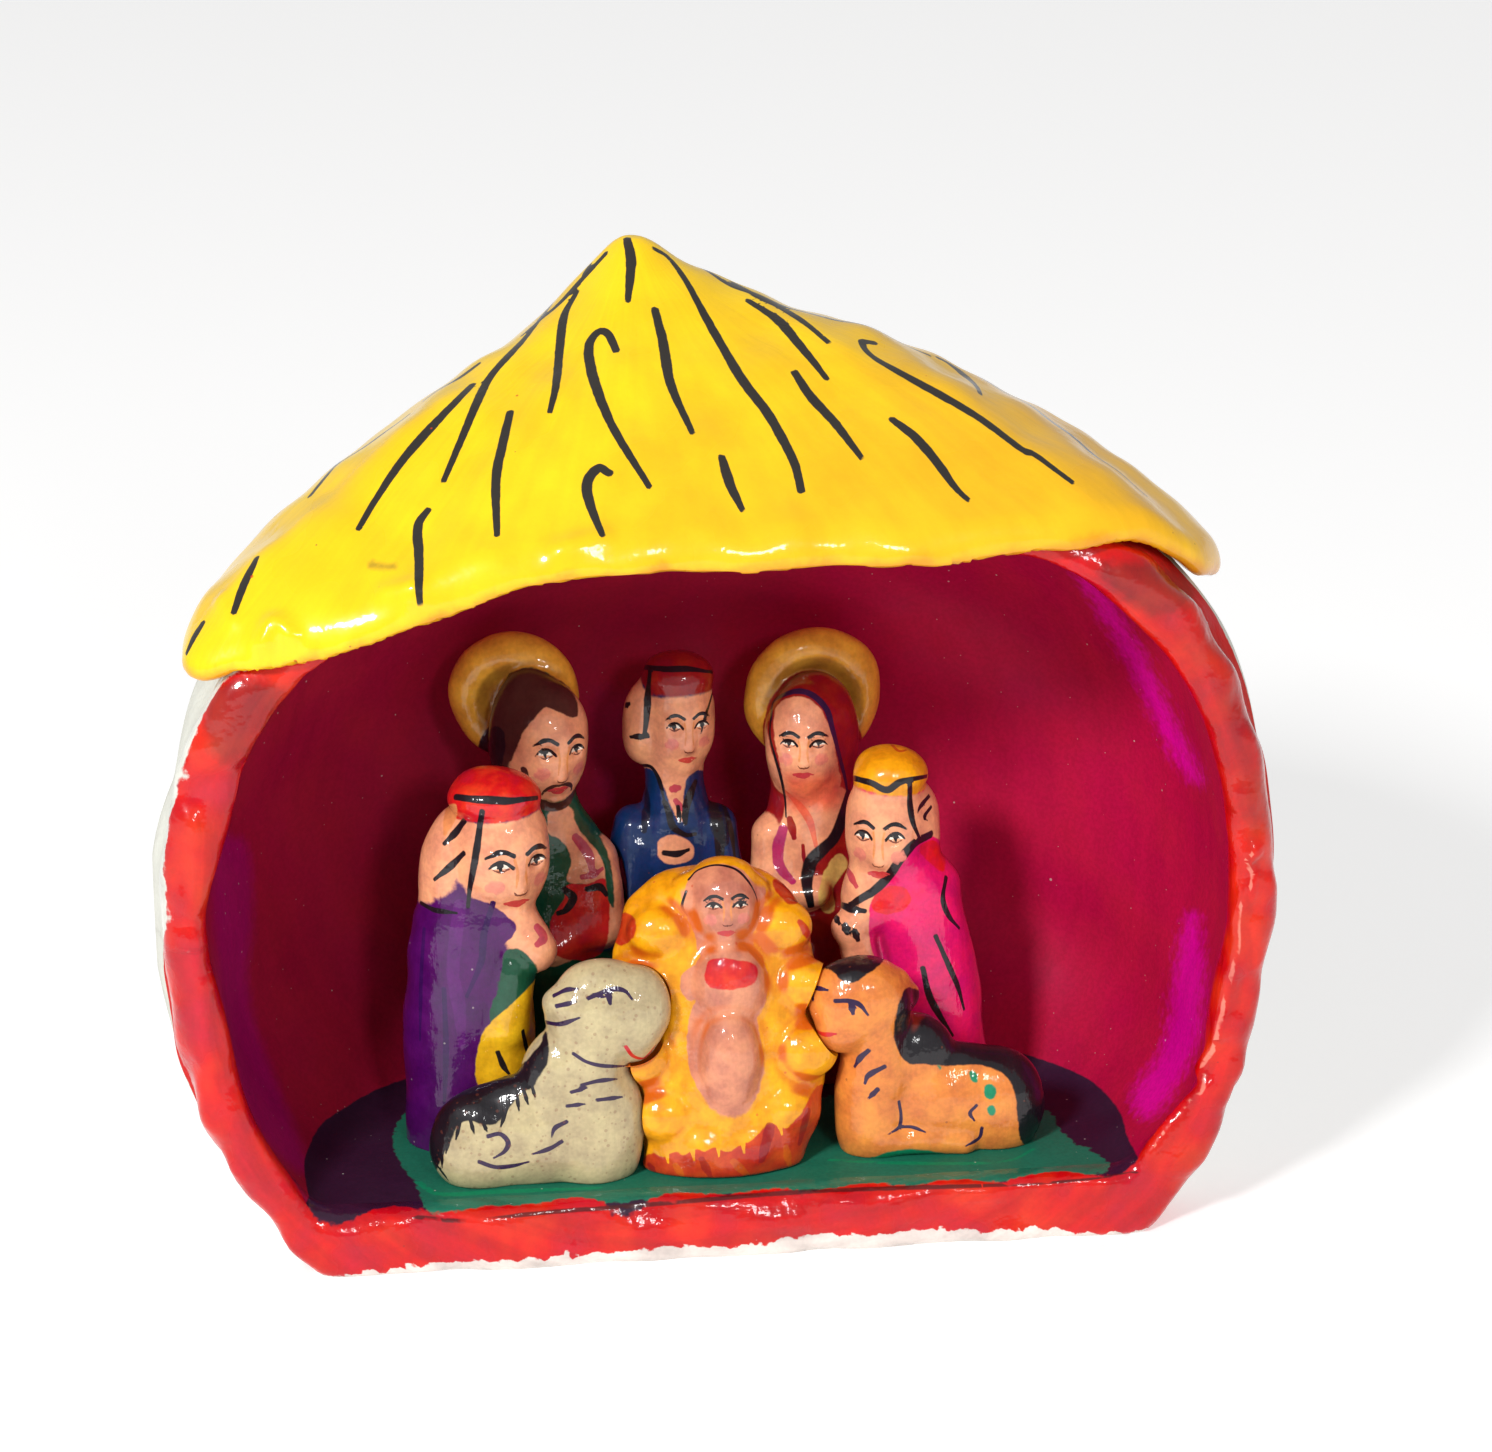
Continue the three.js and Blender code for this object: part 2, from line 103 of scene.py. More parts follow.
# Soft forms as distance fields: negative inside, in millimetres.
def ripple(points, size, seed, waves=5):
    dice = np.random.default_rng(seed)
    total = 0.0
    for _ in range(waves):
        way = dice.normal(size=3)
        way *= 2 * math.pi / (size * np.linalg.norm(way)) * dice.uniform(0.7, 1.5)
        total = total + np.sin(points @ way + dice.uniform(0, 6.28))
    return total / waves ** 0.5


def pressed(first, second, softness):
    share = np.clip(0.5 + 0.5 * (second - first) / softness, 0, 1)
    return second + (first - second) * share - softness * share * (1 - share)


def cut(first, second, softness=0.15):
    return -pressed(-first, -second, softness)


def smooth(share):
    share = np.clip(share, 0, 1)
    return share * share * (3 - 2 * share)


def lumpField(points, centre, halves, lean=0.0):
    turn = math.radians(lean)
    away = points - np.array(centre)
    across = away[:, 0] * math.cos(turn) - away[:, 2] * math.sin(turn)
    height = away[:, 0] * math.sin(turn) + away[:, 2] * math.cos(turn)
    local = np.stack([across, away[:, 1], height], -1) / np.array(halves)
    reach = np.linalg.norm(local, axis=1)
    slope = np.linalg.norm(local / np.array(halves), axis=1)
    return reach * (reach - 1) / np.maximum(slope, 1e-6)


def limbField(points, start, startRadius, end, endRadius):
    start, end = np.array(start, float), np.array(end, float)
    run = end - start
    share = np.clip((points - start) @ run / (run @ run), 0, 1)
    return np.linalg.norm(points - start - share[:, None] * run, axis=1) - startRadius - (endRadius - startRadius) * share


def robeField(points, rows):
    rows = np.array(rows, float)
    levels = np.arange(rows[0, 0] - 2, rows[-1, 0] + 2, 0.2)
    blur = np.hanning(11)
    blur /= blur.sum()
    rows = [np.convolve(np.pad(np.interp(levels, rows[:, 0], rows[:, i]), 5, "edge"), blur, "valid") for i in range(1, 5)]
    x, y, halfWidth, halfDepth = [np.interp(points[:, 2], levels, row) for row in rows]
    reach = np.hypot((points[:, 0] - x) / halfWidth, (points[:, 1] - y) / halfDepth)
    side = (reach - 1) * np.minimum(halfWidth, halfDepth)
    return cut(side, np.maximum(points[:, 2] - levels[-1] + 2, levels[0] + 2 - points[:, 2]), 0.8)


def haloField(points, centre, radius, rollRadius, turn):
    turn = math.radians(turn)
    away = points - np.array(centre)
    across = away[:, 0] * math.cos(turn) + away[:, 1] * math.sin(turn)
    depth = away[:, 1] * math.cos(turn) - away[:, 0] * math.sin(turn)
    reach = np.hypot(across, away[:, 2])
    roll = np.hypot(reach - radius + rollRadius, depth) - rollRadius
    dish = np.maximum(reach - radius + rollRadius, np.abs(depth) - rollRadius * 0.5)
    return pressed(roll, dish, 0.5)


# A closed skin where the field is zero, made of quads about one step wide.
def surfaceOf(field, low, high, step):
    low, high = np.array(low, float) - 2.5 * step, np.array(high, float) + 2.5 * step
    blocks = np.ceil((high - low) / step / 4).astype(int)
    counts = blocks * 4 + 1
    rough = np.stack(np.meshgrid(*[low[i] + 4 * step * np.arange(blocks[i] + 1) for i in range(3)], indexing="ij"), -1)
    rough = field(rough.reshape(-1, 3)).reshape(blocks + 1)
    close = np.abs(rough) < 7 * step
    nearBlock = np.zeros(blocks, bool)
    steps = [(i, j, k) for i in (0, 1) for j in (0, 1) for k in (0, 1)]
    for i, j, k in steps:
        nearBlock |= close[i:i + blocks[0], j:j + blocks[1], k:k + blocks[2]]
    nearBlock = nearBlock.repeat(4, 0).repeat(4, 1).repeat(4, 2)
    near = np.zeros(counts, bool)
    for i, j, k in steps:
        near[i:i + counts[0] - 1, j:j + counts[1] - 1, k:k + counts[2] - 1] |= nearBlock
    values = rough.repeat(4, 0).repeat(4, 1).repeat(4, 2)[:counts[0], :counts[1], :counts[2]]
    where = np.argwhere(near)
    values[near] = field(low + step * where)
    inside = values < 0
    size = counts - 1
    total = sum(inside[i:i + size[0], j:j + size[1], k:k + size[2]].astype(np.int8) for i, j, k in steps)
    mixed = (total > 0) & (total < 8)
    cells = np.argwhere(mixed)
    number = np.full(size, -1)
    number[mixed] = np.arange(len(cells))
    spot, crossings = np.zeros((len(cells), 3)), np.zeros(len(cells))
    for corner in steps:
        for axis in range(3):
            if corner[axis]:
                continue
            start = cells + corner
            end = start + np.eye(3, dtype=int)[axis]
            a, b = values[tuple(start.T)], values[tuple(end.T)]
            crossed = (a < 0) != (b < 0)
            share = np.where(crossed, a / np.where(crossed, a - b, 1), 0)
            spot += np.where(crossed[:, None], start + share[:, None] * (end - start), 0)
            crossings += crossed
    points = low + step * spot / crossings[:, None]
    faces = []
    for axis in range(3):
        u, v = np.eye(3, dtype=int)[(axis + 1) % 3], np.eye(3, dtype=int)[(axis + 2) % 3]
        before, after = [slice(None)] * 3, [slice(None)] * 3
        before[axis], after[axis] = slice(None, -1), slice(1, None)
        edges = np.argwhere(inside[tuple(before)] != inside[tuple(after)])
        quads = np.stack([number[tuple((edges - shift).T)] for shift in (0 * u, u, u + v, v)], -1)
        faces.append(np.where(inside[tuple(edges.T)][:, None], quads, quads[:, ::-1]))
    faces = np.concatenate(faces)
    for _ in range(2):  # evens out the quads
        points = 0.5 * points + 0.5 * neighbourMean(points, faces)
    for _ in range(3):  # brings them back to the form
        slope, value = slopeOf(field, points, 0.3 * step)
        move = np.clip(value / np.maximum(slope ** 2, 0.05).sum(1), -0.6 * step, 0.6 * step)
        points -= slope * move[:, None]
    return points, faces


def neighbourMean(points, faces):
    first, second = faces.reshape(-1), np.roll(faces, -1, 1).reshape(-1)
    count = np.bincount(first, minlength=len(points))
    total = np.stack([np.bincount(first, points[second, i], len(points)) for i in range(points.shape[1])], -1)
    return total / np.maximum(count, 1)[:, None]


def slopeOf(field, points, reach):
    value = field(points)
    slope = [(field(points + reach * way) - field(points - reach * way)) / (2 * reach) for way in np.eye(3)]
    return np.stack(slope, -1), value


def outwardOf(points, faces):
    across = np.cross(points[faces[:, 2]] - points[faces[:, 0]], points[faces[:, 3]] - points[faces[:, 1]])
    total = np.stack([np.bincount(faces.reshape(-1), across[:, i].repeat(4), len(points)) for i in range(3)], -1)
    return total / np.maximum(np.linalg.norm(total, axis=1), 1e-9)[:, None]


# Hut, with the sizes of the solid.
hut = {
    "wallHalfWidth": 40.3,
    "widestHeight": 26.0,
    "lowerRadius": 35.8,
    "upperRadius": 34.4,
    "lowerPowerLeft": 2.3,
    "lowerPowerRight": 2.45,
    "upperPowerLeft": 2.25,
    "upperPowerRight": 2.5,
    "wallDepth": 35.0,
    "widestDepth": 6.0,
    "frontPinch": 0.012,
    "planPower": 2.3,
    "wallThickness": 3.8,
    "floorTop": 5.0,
    "ceilingThickness": 2.2,
    "rimSoftness": 1.5,
    "wallLumps": 0.3,
    "rimLumps": 0.22,
    "step": 0.5,
}
roof = {
    "leftWidth": 37.3,
    "rightWidth": 36.4,
    "leftCorner": 3.5,
    "rightCorner": 11.0,
    "overhangFront": 2.6,
    "overhangBack": 1.6,
    "frontPower": 2.6,
    "backPower": 1.9,
    "thickness": 2.6,
    "edgeThickness": 2.7,
    "edgeBulge": 0.5,
    "peakHeight": 71.4,
    "peakLeft": 4.6,
    "peakBehindFront": 20.0,
    "tipDrop": 5.75,
    "tipDropLean": 1.6,
    "tipRadius": 5.0,
    "slopePowerLeft": 1.9,
    "slopePowerRight": 2.0,
    "edgeHeightLeft": 45.7,
    "edgeHeightRight": 47.6,
    "frontLift": 0.7,
    "frontLiftMiddle": -9.0,
    "frontLiftReach": 13.0,
    "edgeArchRise": 5.8,
    "edgeArchStart": -0.975,
    "edgeArchEnd": 1.09,
    "edgeArchLeftRun": 0.75,
    "edgeArchRightRun": 0.37,
    "edgeArchFade": 0.39,
    "edgeArchFadeRun": 0.3,
    "edgeWaves": 0.25,
    "slopeLumps": 0.22,
    "step": 0.36,
}
fitGap = 0.3


def hutField(points, inset):
    rise = points[:, 2] - hut["widestHeight"]
    radius = np.where(rise > 0, hut["upperRadius"], hut["lowerRadius"]) - inset
    left = points[:, 0] < 0
    upper, lower = [np.where(left, hut[half + "PowerLeft"], hut[half + "PowerRight"]) for half in ("upper", "lower")]
    power = np.where(rise > 0, upper, lower)
    across = np.abs(points[:, 0]) / (hut["wallHalfWidth"] - inset)
    ring = (across ** power + np.abs(rise / radius) ** power) ** (1 / power)
    ring /= 1 - hut["frontPinch"] * np.clip(1 - points[:, 1] / hut["widestDepth"], 0, 1) ** 2
    depth = (points[:, 1] - hut["widestDepth"]) / (hut["wallDepth"] - inset - hut["widestDepth"])
    plan = hut["planPower"]
    return ((ring ** plan + np.clip(depth, 0, None) ** plan) ** (1 / plan) - 1) * 33


def bent(value, power):
    return np.sign(value) * np.abs(value) ** power


def edgePlan(angle):
    front, left = np.sin(angle) < 0, np.cos(angle) < 0
    width = np.where(left, roof["leftWidth"], roof["rightWidth"])
    corner = np.where(left, roof["leftCorner"], roof["rightCorner"])
    behind = hut["wallDepth"] + roof["overhangBack"] - corner
    reach = np.where(front, corner + roof["overhangFront"], behind)
    power = 2 / np.where(front, roof["frontPower"], roof["backPower"])
    return width * bent(np.cos(angle), power), corner + reach * bent(np.sin(angle), power)


def edgeHeight(x, y):
    across = x / np.where(x < 0, roof["leftWidth"], roof["rightWidth"])
    level = roof["edgeHeightLeft"] + (roof["edgeHeightRight"] - roof["edgeHeightLeft"]) * (across + 1) / 2
    front = smooth((roof["edgeArchFade"] - y / hut["wallDepth"]) / roof["edgeArchFadeRun"])
    fromLeft = smooth((across - roof["edgeArchStart"]) / roof["edgeArchLeftRun"])
    fromRight = smooth((roof["edgeArchEnd"] - across) / roof["edgeArchRightRun"])
    lift = roof["frontLift"] * np.exp(-((x - roof["frontLiftMiddle"]) / roof["frontLiftReach"]) ** 2)
    return level + (roof["edgeArchRise"] * fromLeft * fromRight + lift) * front


# The roof's plan as a table of turns about the peak.
planAngles = np.linspace(-math.pi, math.pi, 2881)
planX, planY = edgePlan(planAngles)
planTurns = np.unwrap(np.arctan2(planY - roof["peakBehindFront"], planX + roof["peakLeft"]))


def roofPlace(points):
    x, y = points[:, 0] + roof["peakLeft"], points[:, 1] - roof["peakBehindFront"]
    turn = np.arctan2(y, x)
    turn = planTurns[0] + np.mod(turn - planTurns[0], 2 * math.pi)
    angle = np.interp(turn, planTurns, planAngles)
    edgeX, edgeY = edgePlan(angle)
    reach = np.hypot(edgeX + roof["peakLeft"], edgeY - roof["peakBehindFront"])
    return angle, np.hypot(x, y) / reach, reach, edgeHeight(edgeX, edgeY)


def roofTop(angle, share, reach, edge):
    tip = roof["tipDrop"] - roof["tipDropLean"] * np.cos(angle)

    def tipShare(distance):
        return 1 - 1 / (1 + (distance / roof["tipRadius"]) ** 2)

    fall = roof["peakHeight"] - tip * tipShare(reach) - edge - roof["edgeThickness"]
    right = (np.cos(angle) + 1) / 2
    power = roof["slopePowerLeft"] * (1 - right) + roof["slopePowerRight"] * right
    return roof["peakHeight"] - tip * tipShare(reach * share) - fall * share ** power


def aboveRoof(points, place=None):
    place = place or roofPlace(points)
    angle, share, reach, edge = place
    steep = 0.86
    return (points[:, 2] - roofTop(angle, share, reach, edge)) * steep


def shellField(points):
    rimShare = np.exp(-(points[:, 1] / 4) ** 2)
    outer = hutField(points, 0.25) + hut["wallLumps"] * ripple(points, 15, 3) + hut["rimLumps"] * rimShare * ripple(points, 5, 19)
    under = aboveRoof(points)
    outer = cut(outer, under + (roof["thickness"] + 0.1) * 0.86, 0.5)
    front = -points[:, 1] + hut["rimLumps"] * (ripple(points, 9, 5) + 0.6 * ripple(points, 3.5, 6))
    outer = cut(outer, front, hut["rimSoftness"])
    room = hutField(points, hut["wallThickness"]) + 0.3 * ripple(points, 13, 8)
    room = cut(room, under + (roof["thickness"] + hut["ceilingThickness"]) * 0.86, 1.0)
    room = cut(room, hut["floorTop"] - points[:, 2] + 0.04 * ripple(points, 6, 9), 1.2)
    return cut(cut(outer, -room, hut["rimSoftness"]), -points[:, 2], 0.5)


def roofField(points):
    place = roofPlace(points)
    angle, share, reach, edge = place
    above = aboveRoof(points, place)
    low = points * np.array([1, 1, 0.5])
    top = above + roof["slopeLumps"] * (ripple(low, 13, 11) + 0.5 * ripple(low, 5, 12))
    beyond = (share - 1) * reach - roof["edgeBulge"] * 0.8
    beyond = beyond + roof["edgeWaves"] * ripple(low, 9, 13)
    under = edge - points[:, 2] + roof["edgeWaves"] * (ripple(low, 11, 14) + 0.7 * ripple(low, 5, 15))
    body = cut(cut(top, beyond, 1.6), under, 1.2)
    seat = cut(hutField(points, -fitGap), above + (roof["thickness"] - fitGap) * 0.86, 0.3)
    return cut(body, -seat, 0.2)


# Figures: each form has its paint. A robe has rows of height, x, y, half width and half depth; a lump
# has its centre, half sizes and lean; a limb its two ends with their radii.
figures = {
    "lamb": {
        "place": (-0.37, 0.165),
        "forms": [
            ("lump", "wool", (0, 0, 3.6), (7.4, 2.6, 4.6), -12), ("lump", "wool", (-3.9, 0, 2.9), (3.7, 2.6, 4.2)),
            ("lump", "wool", (2, 0, 7.6), (3.2, 2.4, 4.4), 22), ("lump", "wool", (4.2, 0, 3.6), (3.6, 2.6, 6)),
            ("lump", "wool", (4.9, -0.2, 12.7), (4.2, 2.5, 3.9), -14), ("lump", "wool", (7.2, -0.2, 12.3), (2.4, 2.2, 3.7), 8),
            ("limb", "wool", (3.9, 0, 6), 2.7, (4, -0.1, 11.5), 2.5), ("limb", "wool", (1.6, -0.4, 13.6), 1, (3, -1.4, 13.2), 1.1),
        ],
        "base": "wool",
        "paint": [
            {"colour": "black", "areas": [
                [(420, 1190), (418, 1147), (430, 1106), (456, 1084), (493, 1079), (521, 1066), (540, 1046), (546, 1027), (549, 1044), (548, 1063), (540, 1074), (534, 1088), (523, 1091), (515, 1100), (507, 1110), (498, 1124), (484, 1126), (469, 1119), (458, 1124), (449, 1145), (439, 1161), (435, 1181)],  # back
            ], "lines": [
                ([(516, 1091), (519, 1110)], 4),
                ([(523, 1088), (528, 1104)], 4),
                ([(507, 1108), (501, 1126)], 4),
                ([(470, 1119), (474, 1133)], 4),
                ([(460, 1122), (456, 1139)], 4),
                ([(451, 1131), (446, 1153)], 4),
                ([(442, 1150), (442, 1167)], 4),
                ([(484, 1125), (487, 1131)], 4),
                ([(532, 1086), (535, 1097)], 4),
                ([(436, 1164), (448, 1180)], 4),
            ]},
            {"colour": "purpleBlack", "lines": [
                ([(489, 1136), (500, 1134), (508, 1142), (505, 1151), (494, 1158)], 5),
                ([(480, 1162), (495, 1167), (512, 1166), (528, 1162)], 5),
                ([(566, 1122), (555, 1128), (552, 1136)], 5),
                ([(561, 1142), (549, 1149), (533, 1154)], 5),
                ([(555, 995), (566, 990), (577, 989)], 5),
                ([(557, 1006), (575, 1002)], 5),
                ([(544, 1022), (560, 1024), (579, 1018)], 5),
                ([(589, 998), (601, 993), (614, 989), (625, 991), (632, 999)], 5),
                ([(608, 992), (610, 1003)], 7),
                ([(594, 995), (605, 997)], 4),
                ([(574, 1054), (587, 1062), (605, 1066), (631, 1066)], 4),
                ([(582, 1085), (598, 1081), (617, 1079)], 4.5),
                ([(572, 1092), (586, 1088)], 4.5),
                ([(598, 1100), (622, 1097)], 4.5),
                ([(568, 1106), (584, 1104)], 4.5),
            ]},
            {"colour": "red", "lines": [
                ([(626, 1047), (633, 1056), (644, 1058), (655, 1046)], 4.5),
            ]},
        ],
    },
    "ox": {
        "place": (0.46, 0.235),
        "forms": [
            ("lump", "tan", (0.6, 0, 3.4), (6.8, 2.7, 4.5), 6), ("lump", "tan", (4, 0, 2.8), (3.6, 2.7, 4.4)),
            ("lump", "tan", (-5.2, -0.4, 3.6), (2.9, 2.5, 5.8)), ("lump", "tan", (-2.2, 0, 7), (3.2, 2.3, 3.4), -30),
            ("lump", "tan", (-6.3, -0.9, 12), (3.8, 2.8, 3.4)), ("lump", "tan", (-7.7, -1.7, 10.3), (1.9, 1.7, 1.9)), ("limb", "tan", (-4.8, -0.3, 6), 2.6, (-5.4, -0.5, 10.8), 2.5),
            ("limb", "tan", (-3.6, -0.5, 13), 1, (-2.9, 0, 11.8), 1.1), ("limb", "tan", (-4.5, -1.4, 1.2), 1.4, (1.2, -1.8, 0.8), 1.1),
        ],
        "base": "tan",
        "paint": [
            {"colour": "black", "areas": [
                [(816, 964), (824, 944), (848, 936), (874, 940), (888, 957), (876, 969), (866, 975), (854, 984), (840, 981), (835, 972), (826, 969)],  # tuft
                [(903, 985), (920, 990), (950, 1012), (985, 1020), (1024, 1036), (1062, 1074), (1062, 1124), (1050, 1146), (1021, 1148), (1018, 1122), (1015, 1089), (1003, 1072), (981, 1064), (952, 1066), (923, 1064), (905, 1064), (895, 1045), (893, 1028)],  # back
            ]},
            {"colour": "brightGreen", "areas": [
                [(833, 1157), (849, 1160), (873, 1157), (896, 1150), (920, 1149), (940, 1153), (981, 1156), (1011, 1152), (1031, 1142), (1040, 1148), (1028, 1171), (835, 1171)],  # foot
                [(983, 1086), (992, 1083), (998, 1092), (992, 1101), (985, 1098)],  # drop
                [(986, 1107), (993, 1104), (997, 1112), (990, 1118)],  # drop
                [(969, 1070), (977, 1072), (978, 1084), (971, 1081)],  # drop
                [(936, 1064), (942, 1066), (940, 1072)],  # drop
            ]},
            {"colour": "purpleBlack", "lines": [
                ([(807, 992), (814, 988), (827, 990)], 5),
                ([(811, 991), (813, 999)], 7),
                ([(836, 1001), (849, 1001), (860, 1005), (868, 1015)], 5),
                ([(851, 1004), (853, 1013)], 7),
                ([(868, 1051), (860, 1058), (855, 1066)], 6),
                ([(884, 1067), (869, 1075), (865, 1083)], 6),
                ([(877, 1090), (869, 1098)], 6),
                ([(899, 1102), (901, 1116), (899, 1127), (889, 1134)], 4),
                ([(900, 1127), (912, 1127), (925, 1132)], 3.5),
                ([(976, 1106), (970, 1113), (974, 1120)], 4),
                ([(982, 1128), (979, 1138), (966, 1146)], 4),
            ]},
            {"colour": "red", "lines": [
                ([(811, 1025), (822, 1034), (836, 1034)], 5),
            ]},
        ],
    },
    "child_in_manger": {
        "place": (0, 0.17),
        "forms": [
            ("robe", "straw", [
                (-1, 0, 0.1, 5.6, 2.8), (1.5, 0.4, 0.2, 6.4, 3), (4, 0.7, 0.7, 7.2, 3.1), (8, 0.5, 1.7, 7.2, 3.1),
                (13, 0.1, 2.9, 7.5, 3), (17, -0.1, 3.9, 7.3, 2.7), (20, -0.2, 4.6, 5.8, 2.2), (21.8, 0, 5, 3.2, 1.5),
            ]),
            ("lump", "pinkFlesh", (0.6, 2.4, 19.6), (2.5, 2.3, 3.1)), ("lump", "straw", (0.6, 3.2, 21.4), (2.5, 2, 1.6)),
            ("lump", "pinkFlesh", (0.8, 0.7, 13.9), (2.7, 2, 3.4)), ("lump", "pinkFlesh", (0.6, -0.8, 8.2), (2.35, 2.1, 4.5)),
        ],
        "base": "straw",
        "hollowReach": 1.8,
        "face": {"centre": (0.6, 2.4, 19.6), "halves": (2.4, 2.2, 3.0), "yaw": 0, "pitch": 22},
        "tufts": {"count": 12, "middle": 11, "rise": 9.2, "reach": 6.2, "lean": 0.26, "size": (2.5, 1.9, 2.2), "seed": 4},
        "paint": [
            {"colour": "rust", "areas": [
                [(609, 934), (616, 917), (627, 910), (638, 923), (633, 940), (619, 948)],  # rust1
                [(770, 877), (790, 881), (801, 903), (789, 906), (776, 892)],  # rust2
                [(794, 917), (807, 923), (818, 945), (807, 943)],  # rust3
                [(638, 1178), (643, 1156), (653, 1152), (664, 1159), (676, 1149), (683, 1157), (697, 1147), (704, 1154), (714, 1145), (727, 1154), (737, 1146), (748, 1143), (762, 1131), (769, 1121), (786, 1131), (794, 1121), (803, 1114), (812, 1088), (826, 1083), (834, 1103), (829, 1119), (818, 1147), (801, 1175), (709, 1187), (653, 1187)],  # fringe
            ]},
            {"colour": "straw", "areas": [
                [(687, 870), (697, 856), (717, 848), (732, 857), (737, 865), (720, 862), (702, 867)],  # capYellow
            ]},
            {"colour": "pinkFlesh", "areas": [
                [(683, 899), (688, 878), (700, 867), (720, 863), (740, 867), (753, 881), (757, 906), (752, 931), (754, 959), (706, 962), (697, 954), (695, 931), (686, 917)],  # face
                [(691, 1007), (703, 993), (725, 990), (748, 993), (758, 1018), (760, 1046), (754, 1080), (744, 1103), (723, 1109), (703, 1098), (689, 1072), (686, 1041)],  # body
                [(679, 978), (690, 966), (706, 963), (706, 990), (692, 1003), (682, 996)],  # shoulder
            ]},
            {"colour": "red", "areas": [
                [(705, 964), (714, 957), (737, 960), (754, 962), (759, 971), (755, 985), (731, 991), (705, 988)],  # band
            ]},
            {"colour": "black", "lines": [
                ([(689, 879), (698, 870), (716, 865), (735, 869), (748, 881), (756, 896), (758, 910)], 3),
                ([(686, 892), (682, 906), (687, 915)], 3),
            ]},
            {"colour": "straw", "soft": 0.2, "lines": [
                ([(664, 1138), (668, 1162)], 5),
                ([(690, 1136), (694, 1160)], 5),
                ([(717, 1134), (719, 1156)], 4),
                ([(741, 1128), (744, 1152)], 5),
                ([(776, 1112), (782, 1134)], 5),
            ]},
            {"colour": "darkRed", "soft": 0.4, "strength": 0.75, "lines": [
                ([(650, 1166), (662, 1182)], 9),
                ([(702, 1160), (712, 1180)], 8),
                ([(770, 1128), (762, 1160)], 12),
                ([(808, 1112), (800, 1142)], 10),
                ([(824, 1086), (824, 1112)], 9),
            ]},
            {"colour": "orange", "soft": 0.4, "strength": 0.7, "lines": [
                ([(676, 1166), (686, 1182)], 8),
                ([(734, 1162), (748, 1176)], 9),
                ([(786, 1148), (790, 1166)], 8),
            ]},
        ],
    },
    "purple_king": {
        "place": (-0.5, 0.39),
        "forms": [
            ("robe", "purple", [
                (-1, 0, 0.2, 4.3, 3.4), (4, 0.1, 0.1, 4.5, 3.5), (10, 0.2, 0, 4.6, 3.5), (15, 0.8, 0, 4.7, 3.4),
                (18, 0.9, 0, 4.4, 3.2), (20, 1.2, 0, 3.6, 2.8), (22, 1.6, 0, 3, 2.6),
            ]),
            ("lump", "flesh", (2.9, -0.5, 22.8), (3.7, 3.3, 5.2)), ("lump", "flesh", (-0.3, 0.3, 21.8), (2.6, 2.5, 4.9), 12),
            ("lump", "scarlet", (2.6, -0.3, 27.2), (3.4, 3.1, 2.1)), ("limb", "flesh", (3.4, -1.1, 18), 2, (5.3, -1.9, 15.6), 1.6),
            ("limb", "green", (3.6, -1.6, 14), 1.8, (3, -2.2, 9.8), 1.7), ("limb", "yellow", (2.8, -0.8, 11), 2.4, (2.4, -1.2, 3), 2.6),
        ],
        "base": "purple",
        "face": {"centre": (2.9, -0.5, 22.9), "halves": (3.5, 3.3, 4.7), "yaw": 24, "pitch": 2},
        "paint": [
            {"colour": "purple", "areas": [
                [(408, 960), (414, 921), (418, 903), (428, 909), (451, 912), (460, 901), (472, 898), (490, 903), (505, 914), (518, 926), (513, 936), (504, 944), (495, 954), (490, 976), (476, 1004), (467, 1036), (467, 1128), (401, 1128)],  # purple
            ]},
            # Lighter violet stripe down the robe: painted highlight.
            {"colour": "violet", "strength": 0.5, "lines": [
                ([(460, 906), (456, 934), (453, 973), (459, 1007), (462, 1046)], 14),
            ]},
            {"colour": "deepPurple", "lines": [
                ([(493, 903), (484, 934), (481, 962), (467, 996)], 7),
                ([(424, 930), (421, 980), (420, 1040)], 5),
                ([(444, 990), (446, 1050), (444, 1110)], 6),
            ]},
            {"colour": "yellow", "areas": [
                [(542, 971), (550, 982), (547, 1007), (544, 1030), (546, 1052), (535, 1074), (507, 1091), (481, 1097), (474, 1074), (480, 1035), (495, 1018), (512, 1004), (529, 987)],  # yellow
            ]},
            {"colour": "green", "areas": [
                [(504, 950), (518, 947), (530, 957), (540, 971), (530, 986), (512, 1003), (497, 1016), (488, 1021), (493, 1002), (500, 985), (501, 968)],  # green
            ]},
            {"colour": "flesh", "areas": [
                [(530, 926), (541, 919), (549, 927), (552, 940), (546, 947), (534, 944)],  # hand
            ]},
            {"colour": "rose", "lines": [
                ([(538, 928), (544, 937), (538, 944)], 11),
            ]},
            {"colour": "fleshShade", "areas": [
                [(444, 807), (458, 802), (456, 820), (442, 843)],  # orange
            ]},
            {"colour": "scarlet", "areas": [
                [(458, 786), (460, 778), (468, 770), (481, 766), (504, 769), (521, 778), (530, 789), (536, 800), (518, 802), (490, 800), (467, 798), (458, 794)],  # cap
            ], "lines": [
                ([(459, 804), (481, 807), (502, 808), (520, 809), (536, 806), (542, 813)], 5),
            ]},
            {"colour": "black", "lines": [
                ([(456, 797), (472, 799), (490, 800), (509, 801), (527, 799), (537, 798)], 8),
                ([(482, 812), (479, 832), (476, 853), (473, 871), (470, 887), (468, 906)], 7.5),
                ([(464, 821), (456, 832), (445, 843)], 8),
                ([(463, 854), (451, 866), (435, 879)], 7),
                ([(421, 903), (435, 910), (456, 913)], 5),
                ([(498, 1053), (503, 1065), (509, 1074)], 6),
                ([(523, 1032), (526, 1046), (530, 1060)], 6),
